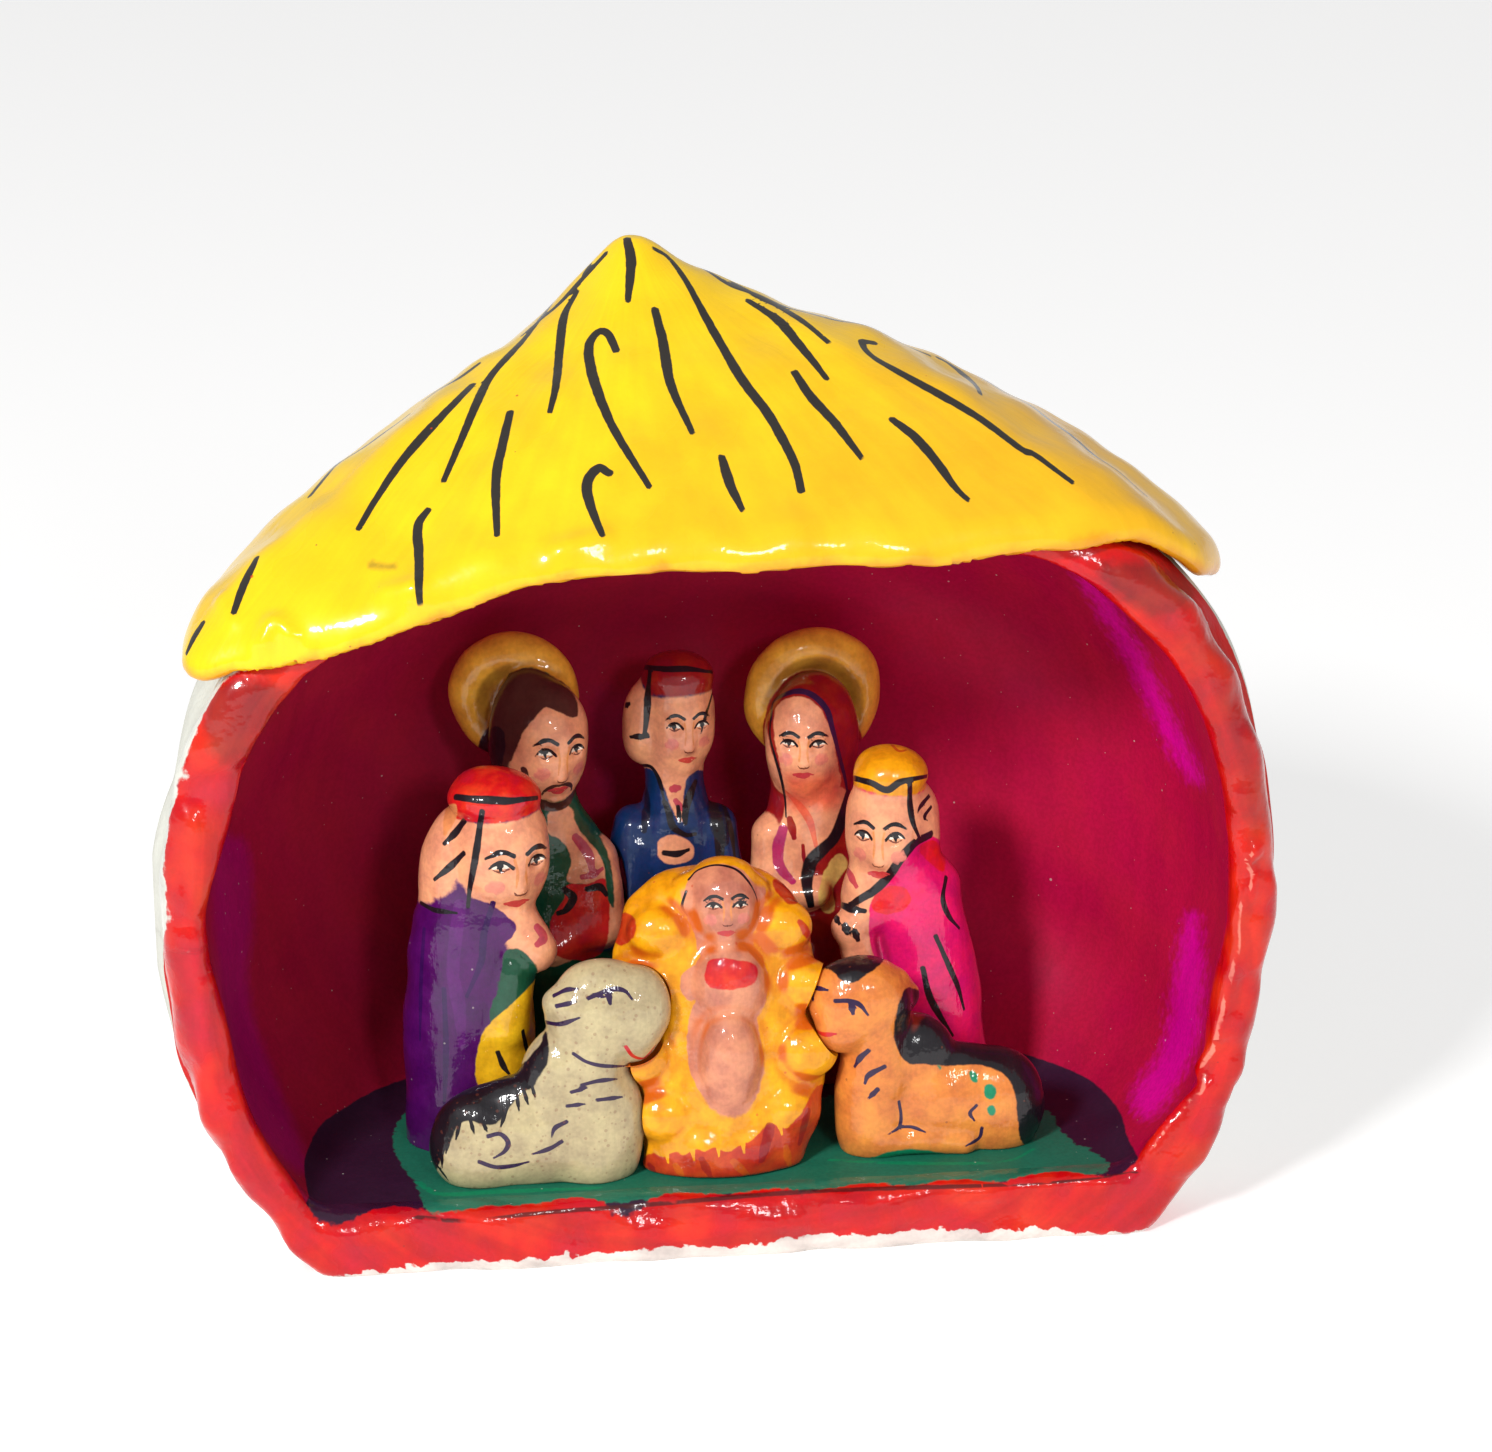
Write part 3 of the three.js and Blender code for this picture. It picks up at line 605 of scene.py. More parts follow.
                ([(543, 1025), (545, 1035), (544, 1046)], 4),
            ]},
        ],
    },
    "pink_king": {
        "place": (0.43, 0.45),
        "forms": [
            ("robe", "pink", [
                (-1, 2, 0, 4, 3.3), (5.8, 1.4, 0, 4, 3.4), (12, 0.6, 0, 4, 3.4), (16, -0.4, 0, 4, 3.3),
                (18.6, -0.8, 0, 3.9, 3.1), (20.4, -1.4, 0, 3.2, 2.8), (22, -1.7, 0, 2.6, 2.5),
            ]),
            ("lump", "flesh", (-2.3, -0.4, 22.8), (3.1, 3.1, 5)), ("lump", "flesh", (-0.1, 0.3, 22.6), (1.9, 2.3, 3.8), -8),
            ("lump", "straw", (-2, -0.2, 26.9), (2.8, 2.8, 2)), ("lump", "flesh", (-3.7, -1, 18), (2, 2, 3.2), 10),
            ("limb", "flesh", (-3.3, -1.4, 16.8), 1.7, (-5.2, -2.2, 15.6), 1.4),
            ("limb", "flesh", (-4.6, -1.9, 14.4), 1.4, (-3.8, -1.7, 9.8), 1.7),
        ],
        "base": "pink",
        "face": {"centre": (-2.5, -0.4, 22.9), "halves": (2.9, 3.1, 4.5), "yaw": -16, "pitch": 2},
        "paint": [
            {"colour": "pink", "areas": [
                [(914, 843), (935, 834), (948, 851), (958, 888), (966, 940), (971, 1008), (940, 1018), (901, 992), (877, 966), (869, 940), (867, 909), (877, 893), (890, 877), (901, 862)],  # robe
            ]},
            {"colour": "redPink", "areas": [
                [(872, 896), (888, 885), (909, 888), (912, 906), (888, 916), (871, 911)],  # redPatch
                [(916, 846), (935, 838), (946, 854), (945, 875), (927, 862)],  # redTop
            ]},
            {"colour": "flesh", "areas": [
                [(832, 887), (846, 881), (864, 893), (870, 910), (868, 937), (858, 946), (841, 943), (832, 916)],  # cloth
            ]},
            {"colour": "straw", "areas": [
                [(853, 778), (856, 767), (863, 757), (877, 745), (896, 743), (914, 747), (926, 758), (929, 775), (909, 780), (885, 783), (862, 781)],  # cap
            ]},
            {"colour": "orange", "lines": [
                ([(892, 745), (899, 751), (906, 750)], 4),
            ]},
            {"colour": "rose", "lines": [
                ([(845, 866), (851, 877), (856, 886)], 8),
                ([(837, 885), (838, 894)], 7),
            ]},
            {"colour": "black", "lines": [
                ([(853, 778), (871, 783), (887, 790), (901, 782), (928, 776)], 7.5),
                ([(910, 783), (910, 804), (913, 822), (919, 837)], 7),
                ([(929, 796), (920, 807), (918, 812)], 4.5),
                ([(931, 807), (924, 817), (927, 820)], 4),
                ([(930, 835), (915, 843), (901, 859), (888, 877), (875, 890), (862, 898), (851, 905)], 11),
                ([(832, 887), (830, 901), (834, 914), (839, 923)], 7),
                ([(845, 926), (847, 932)], 9),
                ([(855, 932), (858, 940)], 8),
                ([(842, 905), (852, 909), (864, 911)], 8),
                ([(946, 878), (943, 899), (949, 916), (959, 928)], 6),
                ([(936, 937), (949, 966), (958, 987), (964, 1009)], 6),
                ([(923, 969), (929, 995), (940, 1016), (952, 1035)], 7),
            ]},
        ],
    },
    "bearded_man": {
        "place": (-0.31, 0.65),
        "forms": [
            ("robe", "green", [
                (-1, 0, 0, 4.6, 3.1), (3, 0, 0, 4.8, 3.2), (9, 0.3, 0, 4.9, 3.2), (14.5, 0.6, 0, 5.1, 3.2),
                (18.3, 0.5, 0, 4.7, 3), (20.8, 0.2, -0.1, 3.7, 2.6), (22.8, 0, -0.2, 2.4, 2.3), (26, -0.2, -0.3, 2, 2),
            ]),
            ("lump", "flesh", (0.1, -0.8, 27.9), (3.1, 2.9, 4.7)), ("lump", "hair", (-0.9, 0.2, 28.1), (3.2, 2.6, 5)),
            ("limb", "flesh", (3.3, -0.9, 18.6), 1.9, (3.9, -1.7, 13.8), 1.7), ("limb", "flesh", (3.9, -1.7, 13.8), 1.6, (0.2, -2.7, 12.6), 1.3),
            ("limb", "green", (-3, -0.7, 18.4), 1.9, (-3.6, -1.4, 13), 1.7), ("halo", "ochre", (-2, 2.2, 30.5), 4.8, 1.5, -12),
        ],
        "base": "green",
        "face": {"centre": (0.1, -0.8, 27.9), "halves": (2.9, 2.9, 4.6), "yaw": 20, "pitch": 2, "beard": True},
        "paint": [
            {"colour": "red", "areas": [
                [(564, 883), (587, 884), (606, 875), (610, 896), (610, 917), (605, 960), (550, 960), (549, 921), (558, 909)],  # redRobe
            ]},
            {"colour": "green", "areas": [
                [(545, 835), (557, 839), (569, 850), (572, 864), (565, 881), (565, 898), (558, 909), (546, 916), (532, 908), (522, 890), (529, 871), (541, 853)],  # greenLeft
                [(576, 818), (592, 826), (604, 843), (612, 864), (614, 894), (614, 912), (606, 896), (606, 875), (602, 858), (587, 840)],  # greenRight
            ]},
            {"colour": "flesh", "areas": [
                [(549, 805), (573, 804), (575, 825), (587, 839), (600, 855), (606, 873), (600, 879), (587, 884), (577, 884), (564, 882), (572, 864), (569, 850), (559, 838), (546, 834)],  # arm
            ]},
            {"colour": "hair", "areas": [
                [(475, 764), (478, 747), (482, 734), (495, 719), (499, 703), (509, 692), (525, 680), (541, 675), (556, 678), (568, 686), (577, 699), (579, 715), (575, 718), (567, 716), (557, 712), (549, 708), (543, 707), (537, 716), (529, 724), (521, 735), (517, 749), (511, 761), (505, 769), (495, 770), (483, 769)],  # hair
            ]},
            {"colour": "black", "areas": [
                [(475, 764), (479, 747), (483, 734), (495, 725), (504, 729), (506, 747), (503, 761), (499, 769), (486, 769)],  # hairDark
            ]},
            {"colour": "rose", "lines": [
                ([(576, 838), (588, 853), (592, 869)], 11),
                ([(583, 877), (593, 875), (602, 869)], 7),
            ]},
            {"colour": "black", "lines": [
                ([(565, 890), (573, 898), (566, 910), (559, 913)], 9),
                ([(588, 889), (600, 887), (606, 894)], 8),
            ]},
        ],
    },
    "veiled_woman": {
        "place": (0.235, 0.68),
        "forms": [
            ("robe", "darkRed", [
                (-1, 0, 0, 4.4, 3.1), (3, 0, 0, 4.6, 3.2), (9, 0, 0, 4.6, 3.2), (14, 0, 0, 4.5, 3.1),
                (18.4, 0.1, 0, 3.9, 2.8), (22, 0.3, 0, 3.1, 2.6), (25, 0.3, 0.1, 2.6, 2.4),
            ]),
            ("lump", "flesh", (-0.5, -1.2, 26.8), (2.8, 2.6, 4.6)), ("lump", "darkRed", (0.3, 0, 26.4), (3.5, 2.7, 5.4)),
            ("limb", "flesh", (-2.6, -0.6, 19.4), 1.7, (-2.9, -1.9, 14.6), 1.6),
            ("limb", "flesh", (-2.9, -1.9, 14.6), 1.5, (0.2, -2.9, 15.6), 1.2),
            ("limb", "darkRed", (2.9, -0.4, 19), 1.6, (3, -1.6, 14), 1.6), ("halo", "ochre", (0.6, 2.2, 29.2), 5.2, 1.5, 8),
        ],
        "base": "darkRed",
        "face": {"centre": (-0.5, -1.2, 27.4), "halves": (2.6, 2.6, 3.6), "yaw": -8, "pitch": 2},
        "paint": [
            {"colour": "darkRed", "areas": [
                [(765, 723), (767, 705), (775, 690), (788, 682), (804, 678), (821, 683), (837, 695), (850, 714), (862, 733), (864, 752), (859, 773), (851, 783), (843, 773), (835, 783), (783, 783), (773, 757)],  # veil
            ]},
            {"colour": "flesh", "areas": [
                [(773, 719), (776, 706), (784, 699), (799, 696), (813, 701), (824, 712), (831, 731), (835, 746), (838, 765), (842, 783), (835, 799), (788, 799), (784, 783), (778, 757), (774, 739)],  # face
                [(786, 791), (809, 795), (843, 783), (848, 799), (839, 825), (830, 843), (817, 854), (808, 862), (806, 882), (800, 893), (783, 880), (769, 864), (768, 851), (775, 835), (784, 817)],  # front
            ]},
            {"colour": "cream", "areas": [
                [(837, 850), (850, 862), (841, 877), (831, 888), (837, 909), (825, 916), (817, 901), (822, 875)],  # cream
            ]},
            {"colour": "coral", "soft": 1.4, "strength": 0.75, "areas": [
                [(783, 772), (796, 776), (817, 776), (837, 771), (843, 785), (839, 806), (825, 812), (809, 806), (796, 812), (787, 806)],  # wash
            ], "lines": [
                ([(786, 792), (799, 805), (810, 822), (816, 845)], 8),
            ]},
            {"colour": "magenta", "lines": [
                ([(783, 830), (778, 848), (780, 867), (792, 881)], 12),
            ]},
            {"colour": "darkRed", "lines": [
                ([(790, 820), (794, 837)], 9),
                ([(803, 846), (804, 862)], 4),
                ([(850, 746), (856, 762), (855, 778)], 8),
            ]},
            {"colour": "purpleBlack", "lines": [
                ([(771, 719), (773, 703), (783, 695), (799, 691), (814, 696), (827, 710), (833, 731), (837, 746), (841, 762), (845, 778), (848, 795)], 7),
            ]},
            {"colour": "black", "lines": [
                ([(771, 715), (770, 736), (775, 757), (781, 778), (785, 799), (786, 816)], 4),
                ([(848, 796), (843, 817), (834, 838), (820, 852), (811, 862), (807, 882), (811, 906)], 14),
            ]},
        ],
    },
    "blue_king": {
        "place": (-0.04, 0.71),
        "forms": [
            ("robe", "blue", [
                (-1, 0, 0, 4.2, 2.9), (4, 0, 0, 4.4, 3), (11, 0, 0, 4.4, 3), (16.5, 0, 0, 4.2, 2.9),
                (19.6, 0, 0, 3.8, 2.7), (22, 0, 0, 3, 2.4),
            ]),
            ("robe", "flesh", [(18, 0, 0, 2, 2), (22, 0, 0, 2.6, 2.3), (24, 0, 0, 2.3, 2.1), (28, 0.1, 0, 2.3, 2.1)]),
            ("lump", "flesh", (0.4, -0.4, 29.3), (2.7, 2.6, 4.4)), ("lump", "flesh", (-2.1, 0.1, 29.1), (1.8, 1.9, 3.5), 6),
            ("lump", "darkRed", (0.3, -0.2, 32.5), (2.7, 2.5, 2)), ("lump", "flesh", (0, -2.4, 14.6), (1.9, 1.5, 2)),
            ("limb", "blue", (-3.1, -0.3, 20.6), 1.7, (-3.4, -1.2, 15.4), 2), ("limb", "blue", (3.1, -0.3, 20.3), 1.7, (3.3, -1.2, 15.4), 2),
        ],
        "base": "blue",
        "face": {"centre": (0.6, -0.4, 29.3), "halves": (2.5, 2.6, 4.1), "yaw": 6, "pitch": 2},
        "paint": [
            {"colour": "blue", "areas": [
                [(627, 771), (639, 767), (651, 768), (661, 780), (669, 801), (678, 822), (686, 834), (668, 835), (656, 839), (656, 864), (616, 864), (603, 851), (604, 822), (613, 794)],  # blueLeft
                [(685, 780), (694, 771), (705, 769), (716, 788), (731, 822), (737, 851), (736, 864), (699, 862), (695, 847), (686, 835), (683, 817)],  # blueRight
            ]},
            {"colour": "navy", "lines": [
                ([(624, 783), (616, 804), (613, 828)], 10),
                ([(644, 778), (647, 804), (644, 830)], 10),
                ([(707, 783), (718, 809), (723, 840)], 24),
            ]},
            {"colour": "flesh", "areas": [
                [(655, 842), (668, 834), (686, 837), (696, 848), (690, 863), (660, 865)],  # box
            ]},
            {"colour": "darkRed", "areas": [
                [(641, 661), (648, 651), (663, 645), (678, 644), (697, 647), (709, 654), (713, 663), (711, 669), (643, 667)],  # cap
            ]},
            {"colour": "rose", "lines": [
                ([(673, 789), (678, 788)], 10),
                ([(676, 801), (682, 809)], 7),
            ]},
            {"colour": "black", "lines": [
                ([(644, 667), (665, 669), (689, 669), (712, 672)], 7),
                ([(650, 669), (648, 692), (647, 712), (645, 731), (643, 737)], 7.5),
                ([(647, 736), (631, 737)], 6.5),
                ([(637, 678), (631, 686), (626, 695)], 5),
                ([(626, 705), (629, 704)], 7),
                ([(714, 673), (712, 694), (706, 715), (701, 733)], 4),
                ([(628, 771), (639, 766), (651, 767), (659, 780), (664, 799)], 5),
                ([(664, 800), (669, 814), (673, 827), (686, 835), (695, 834)], 7),
                ([(678, 807), (680, 822)], 5),
                ([(665, 853), (677, 854), (688, 850)], 7),
                ([(709, 772), (722, 800), (731, 830), (735, 858)], 7),
                ([(695, 783), (687, 804), (685, 822)], 9),
                ([(712, 800), (719, 830), (720, 862)], 12),
                ([(640, 770), (628, 786), (620, 806)], 5),
            ]},
        ],
    },
}
figureStep = 0.19
floorTop = hut["floorTop"]


def faceAxes(face):
    yaw, pitch = math.radians(face["yaw"]), math.radians(face["pitch"])
    out = np.array([math.sin(yaw) * math.cos(pitch), -math.cos(yaw) * math.cos(pitch), math.sin(pitch)])
    right = np.array([math.cos(yaw), math.sin(yaw), 0.0])
    return out, right, np.cross(right, -out)


# A place on the head at shares of its half width and half height, sunk below the skin or raised.
def onHead(face, across, up, raised=0.0):
    out, right, above = faceAxes(face)
    halfWidth, halfDepth, halfHeight = face["halves"]
    depth = halfDepth * math.sqrt(max(0.0, 1 - across ** 2 - up ** 2)) + raised
    return np.array(face["centre"]) + right * across * halfWidth + above * up * halfHeight + out * depth


# Plain face: eyes half way up the head, nose base half way down from there, mouth a third below it.
faceShape = {
    "eyeAcross": 0.42,
    "noseBase": -0.5,
    "mouth": -0.67,
    "browUp": 0.17,
    "noseWidth": 0.13,
    "socketDepth": 0.22,
}


def modelFace(field, face, points):
    size = face["halves"][0]
    nose = limbField(points, onHead(face, 0, 0.05, -0.14 * size), 0.12 * size,
                     onHead(face, 0, faceShape["noseBase"] + 0.07, -0.09 * size), 0.19 * size)
    brow = limbField(points, onHead(face, -0.5, faceShape["browUp"], -0.2), 0.25, onHead(face, 0.5, faceShape["browUp"], -0.2), 0.25)
    upperLip = limbField(points, onHead(face, -0.17, faceShape["mouth"] + 0.02, -0.15), 0.2, onHead(face, 0.17, faceShape["mouth"] + 0.02, -0.15), 0.2)
    lowerLip = limbField(points, onHead(face, -0.12, faceShape["mouth"] - 0.06, -0.15), 0.22, onHead(face, 0.12, faceShape["mouth"] - 0.06, -0.15), 0.22)
    chin = lumpField(points, onHead(face, 0, -0.86, -0.5), (0.8, 0.8, 0.6))
    for side in (-1, 1):
        socket = np.linalg.norm(points - onHead(face, side * faceShape["eyeAcross"], 0, 0.75 - faceShape["socketDepth"]), axis=1) - 0.75
        field = cut(field, -socket, 0.35)
    for form in (nose, brow, chin):
        field = pressed(field, form, 0.35)
    return pressed(field, np.minimum(upperLip, lowerLip), 0.12)


def formField(form, points):
    kind, _, *sizes = form
    return {"lump": lumpField, "limb": limbField, "halo": haloField, "robe": robeField}[kind](points, *sizes)


def localPoints(figure, points):
    scale, across, depth = figure["pen"]
    return (points - np.array([across, depth, floorTop])) / scale


def drawnField(figure, points):
    local = localPoints(figure, points)
    whole = None
    for form in figure["forms"]:
        field = formField(form, local)
        whole = field if whole is None else pressed(whole, field, 0.55)
    if "face" in figure:
        whole = modelFace(whole, figure["face"], local)
    return whole * figure["pen"][0]


def topOf(form):
    kind, _, *sizes = form
    if kind == "robe":
        return sizes[0][-1][0]
    if kind == "halo":
        return sizes[0][2] + sizes[1]
    if kind == "limb":
        return max(sizes[0][2] + sizes[1], sizes[2][2] + sizes[3])
    centre, halves, *lean = sizes
    turn = math.radians(lean[0] if lean else 0)
    return centre[2] + math.hypot(halves[2] * math.cos(turn), halves[0] * math.sin(turn))


def placeFigures():
    innerHalfWidth = hut["wallHalfWidth"] - hut["wallThickness"]
    innerDepth = hut["wallDepth"] - hut["wallThickness"]
    for name, figure in figures.items():
        low, high = [np.array(corner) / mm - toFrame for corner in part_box(name)]
        scale = (high[2] - floorTop) / max(topOf(form) for form in figure["forms"])
        across, depth = figure["place"]
        figure["pen"] = (scale, across * innerHalfWidth, depth * innerDepth)
        figure["box"] = (low, high)


def figureField(name, points):
    field = drawnField(figures[name], points)
    low, high = figures[name]["box"]
    for other, figure in figures.items():
        if other == name:
            break
        if np.all(figure["box"][0] < high + 1) and np.all(figure["box"][1] > low - 1):
            field = cut(field, fitGap - drawnField(figure, points), 0.1)
    field = field + 0.07 * ripple(points, 4.5, 21)
    return cut(field, floorTop - points[:, 2], 0.1)


# Straw tufts round the bank: one lump on each point of an oval path that leans back with the bank.
def tuftTree():
    tree = bpy.data.node_groups.new("straw tufts", "GeometryNodeTree")
    tree.interface.new_socket("Geometry", in_out="OUTPUT", socket_type="NodeSocketGeometry")
    sockets = {}
    for name, kind in (("Count", "Int"), ("Middle", "Float"), ("Rise", "Float"), ("Reach", "Float"), ("Lean", "Float"),
                       ("Size", "Vector"), ("Seed", "Int"), ("Material", "Material")):
        sockets[name] = tree.interface.new_socket(name, in_out="INPUT", socket_type="NodeSocket" + kind).identifier
    nodes, link = tree.nodes, tree.links.new
    given, result = nodes.new("NodeGroupInput").outputs, nodes.new("NodeGroupOutput")
    circle, points = nodes.new("GeometryNodeMeshCircle"), nodes.new("GeometryNodeMeshToPoints")
    link(given["Count"], circle.inputs["Vertices"])
    circle.inputs["Radius"].default_value = 1
    half = nodes.new("ShaderNodeMath")
    half.operation = "DIVIDE"
    half.inputs[0].default_value = math.pi
    link(given["Count"], half.inputs[1])
    start = nodes.new("ShaderNodeMath")
    start.operation = "SUBTRACT"
    link(half.outputs[0], start.inputs[0])
    start.inputs[1].default_value = math.pi / 2
    turn, turnBy = nodes.new("GeometryNodeTransform"), nodes.new("ShaderNodeCombineXYZ")
    link(start.outputs[0], turnBy.inputs[2])
    link(turnBy.outputs[0], turn.inputs["Rotation"])
    link(circle.outputs[0], turn.inputs["Geometry"])
    place, parts, spot = nodes.new("GeometryNodeSetPosition"), nodes.new("ShaderNodeSeparateXYZ"), nodes.new("ShaderNodeCombineXYZ")
    link(nodes.new("GeometryNodeInputPosition").outputs[0], parts.inputs[0])

    def mathNode(operation, first, second):
        node = nodes.new("ShaderNodeMath")
        node.operation = operation
        for socket, value in zip(node.inputs, (first, second)):
            if isinstance(value, (int, float)):
                socket.default_value = value
            else:
                link(value, socket)
        return node.outputs[0]

    height = mathNode("ADD", mathNode("MULTIPLY", parts.outputs[1], given["Rise"]), given["Middle"])
    link(mathNode("ADD", mathNode("MULTIPLY", parts.outputs[0], given["Reach"]), 0.3), spot.inputs[0])
    link(mathNode("SUBTRACT", mathNode("MULTIPLY", height, given["Lean"]), 1.7), spot.inputs[1])
    link(height, spot.inputs[2])
    link(turn.outputs[0], place.inputs["Geometry"])
    link(spot.outputs[0], place.inputs["Position"])
    link(place.outputs[0], points.inputs[0])
    ball, put, random = nodes.new("GeometryNodeMeshIcoSphere"), nodes.new("GeometryNodeInstanceOnPoints"), nodes.new("FunctionNodeRandomValue")
    ball.inputs["Subdivisions"].default_value = 4
    random.data_type = "FLOAT"
    random.inputs[2].default_value, random.inputs[3].default_value = 0.9, 1.06
    link(given["Seed"], random.inputs["Seed"])
    size = nodes.new("ShaderNodeVectorMath")
    size.operation = "MULTIPLY"
    link(given["Size"], size.inputs[0])
    link(random.outputs[1], size.inputs[1])
    for source, target in ((points.outputs[0], "Points"), (ball.outputs[0], "Instance"), (size.outputs[0], "Scale")):
        link(source, put.inputs[target])
    realize, paint = nodes.new("GeometryNodeRealizeInstances"), nodes.new("GeometryNodeSetMaterial")
    link(put.outputs[0], realize.inputs[0])
    link(realize.outputs[0], paint.inputs["Geometry"])
    link(given["Material"], paint.inputs["Material"])
    link(paint.outputs[0], result.inputs[0])
    return tree, sockets


def grownMesh(name, tree, sockets, values):
    carrier = bpy.data.objects.new(name, bpy.data.meshes.new(name))
    bpy.context.collection.objects.link(carrier)
    modifier = carrier.modifiers.new(name, "NODES")
    modifier.node_group = tree
    for key, value in values.items():
        modifier[sockets[key]] = value
    mesh = bpy.data.meshes.new_from_object(carrier.evaluated_get(bpy.context.evaluated_depsgraph_get()))
    bpy.data.objects.remove(carrier)
    return mesh


def meshArrays(mesh):
    points = np.zeros(len(mesh.vertices) * 3, np.float32)
    mesh.vertices.foreach_get("co", points)
    faces = [list(face.vertices) for face in mesh.polygons]
    return points.reshape(-1, 3).astype(float), faces


# Presses the tufts and the bank into one skin.
def pressTufts(figure, points, faces, step):
    tuft = figure["tufts"]
    tree, sockets = tuftTree()
    values = {"Count": tuft["count"], "Middle": float(tuft["middle"]), "Rise": tuft["rise"], "Reach": tuft["reach"],
              "Lean": tuft["lean"], "Size": tuft["size"], "Seed": tuft["seed"], "Material": bpy.data.materials.new("straw")}
    tufts, tuftFaces = meshArrays(grownMesh("straw_tufts", tree, sockets, values))
    scale, across, depth = figure["pen"]
    tufts = tufts * scale + np.array([across, depth, floorTop])
    both = bpy.data.meshes.new("pressed_straw")
    shift = len(points)
    both.from_pydata(np.concatenate([points, tufts]).tolist(), [], faces.tolist() + [[i + shift for i in face] for face in tuftFaces])
    carrier = bpy.data.objects.new("pressed_straw", both)
    bpy.context.collection.objects.link(carrier)
    remesh = carrier.modifiers.new("press", "REMESH")
    remesh.mode, remesh.voxel_size = "VOXEL", step
    pressedMesh = bpy.data.meshes.new_from_object(carrier.evaluated_get(bpy.context.evaluated_depsgraph_get()))
    bpy.data.objects.remove(carrier)
    points, faces = meshArrays(pressedMesh)
    faces = np.array([face for face in faces if len(face) == 4])
    for _ in range(5):
        points = neighbourMean(points, faces)
    for name in ("lamb", "ox"):  # the bank makes way for the animals in front of it
        slope, distance = slopeOf(lambda p: drawnField(figures[name], p), points, 0.1)
        push = np.clip(fitGap - distance, 0, None) / np.maximum(np.linalg.norm(slope, axis=1), 0.3)
        points = points + slope * push[:, None]
    points[:, 2] = np.maximum(points[:, 2], floorTop)
    return points, faces


# Colours of the paints, as seen in daylight.
palette = {
    "crimson": (160, 16, 52), "rose and lit wall": (176, 10, 60), "magenta wall": (214, 0, 150), "violet wall": (164, 8, 100),
    "floor purple": (52, 22, 48), "floor green": (30, 112, 88), "brightGreen": (16, 132, 92), "vermilion": (204, 13, 10),
    # seam is the dark joint line, and also the default colour of the painted shade in creases.
    "brick": (140, 32, 26), "primer": (214, 214, 204), "chalk": (228, 218, 210), "seam": (70, 22, 24),
    # smudge also colours the painted shade in the primer's creases.
    "yellow roof": (252, 206, 14), "goldShade": (242, 178, 24), "amberShade": (224, 140, 30), "ink": (46, 42, 38), "smudge": (150, 120, 40),
    "wool": (186, 170, 130), "tan": (224, 132, 58), "straw": (238, 160, 12), "pinkFlesh": (208, 132, 102), "flesh": (234, 158, 118),
    "fleshShade": (222, 140, 84), "rose": (190, 70, 84), "purple": (74, 6, 88), "violet": (96, 20, 112), "deepPurple": (52, 10, 78),
    "yellow": (230, 176, 24), "green": (20, 78, 54), "scarlet": (214, 28, 26), "red": (205, 34, 34), "darkRed": (150, 22, 26),
    "blue": (12, 44, 92), "navy": (12, 20, 46), "hair": (74, 40, 34), "black": (24, 20, 26), "purpleBlack": (46, 26, 64),
    "ochre": (224, 160, 52), "cream": (216, 176, 96), "coral": (232, 84, 56), "magenta": (176, 40, 96), "pink": (226, 20, 104),
    "redPink": (220, 24, 52), "orange": (204, 92, 16), "rust": (196, 58, 22), "ivory": (244, 232, 214), "lip": (200, 60, 60),
    "blush": (226, 132, 112), "ridgeHighlight": (244, 150, 130), "brownLine": (120, 62, 44),
}


def linear(name):
    shares = np.array(palette[name]) / 255
    return tuple(np.where(shares <= 0.04045, shares / 12.92, ((shares + 0.055) / 1.055) ** 2.4)) + (1.0,)


pixelsPerMm = pixelLens / cameraView["distance"]


def rounded(marks):
    marks = np.array(marks, float)
    for _ in range(2):
        after = np.roll(marks, -1, 0)
        marks = np.stack([0.75 * marks + 0.25 * after, 0.25 * marks + 0.75 * after], 1).reshape(-1, 2)
    return marks


# Distance in pixels from the outline of a patch, positive inside it.
def patchDepth(pixels, marks):
    marks = rounded(marks)
    depth = np.full(len(pixels), -40.0)
    near = np.all((pixels > marks.min(0) - 30) & (pixels < marks.max(0) + 30), axis=1)
    spots = pixels[near][:, None, :]
    start, run = marks[None], (np.roll(marks, -1, 0) - marks)[None]
    share = np.clip(((spots - start) * run).sum(-1) / np.maximum((run ** 2).sum(-1), 1e-9), 0, 1)
    distance = np.sqrt((((spots - start) - share[..., None] * run) ** 2).sum(-1)).min(1)
    ends = start + run
    crosses = (start[..., 1] > spots[..., 1]) != (ends[..., 1] > spots[..., 1])
    side = start[..., 0] + (spots[..., 1] - start[..., 1]) * run[..., 0] / np.where(run[..., 1] == 0, 1e-9, run[..., 1])
    inside = (crosses & (spots[..., 0] < side)).sum(1) % 2 == 1
    depth[near] = np.where(inside, distance, -distance)
    return depth


def curveThrough(marks, spacing):
    marks = np.array(marks, float)
    if len(marks) == 1:
        return marks
    padded = np.concatenate([2 * marks[:1] - marks[1:2], marks, 2 * marks[-1:] - marks[-2:-1]])
    path = []
    for i in range(len(marks) - 1):
        a, b, c, d = padded[i:i + 4]
        steps = max(2, int(np.linalg.norm(c - b) / spacing))
        for t in np.arange(steps) / steps:
            path.append(0.5 * (2 * b + (c - a) * t + (2 * a - 5 * b + 4 * c - d) * t ** 2 + (3 * b - a - 3 * c + d) * t ** 3))
    return np.array(path + [marks[-1]])


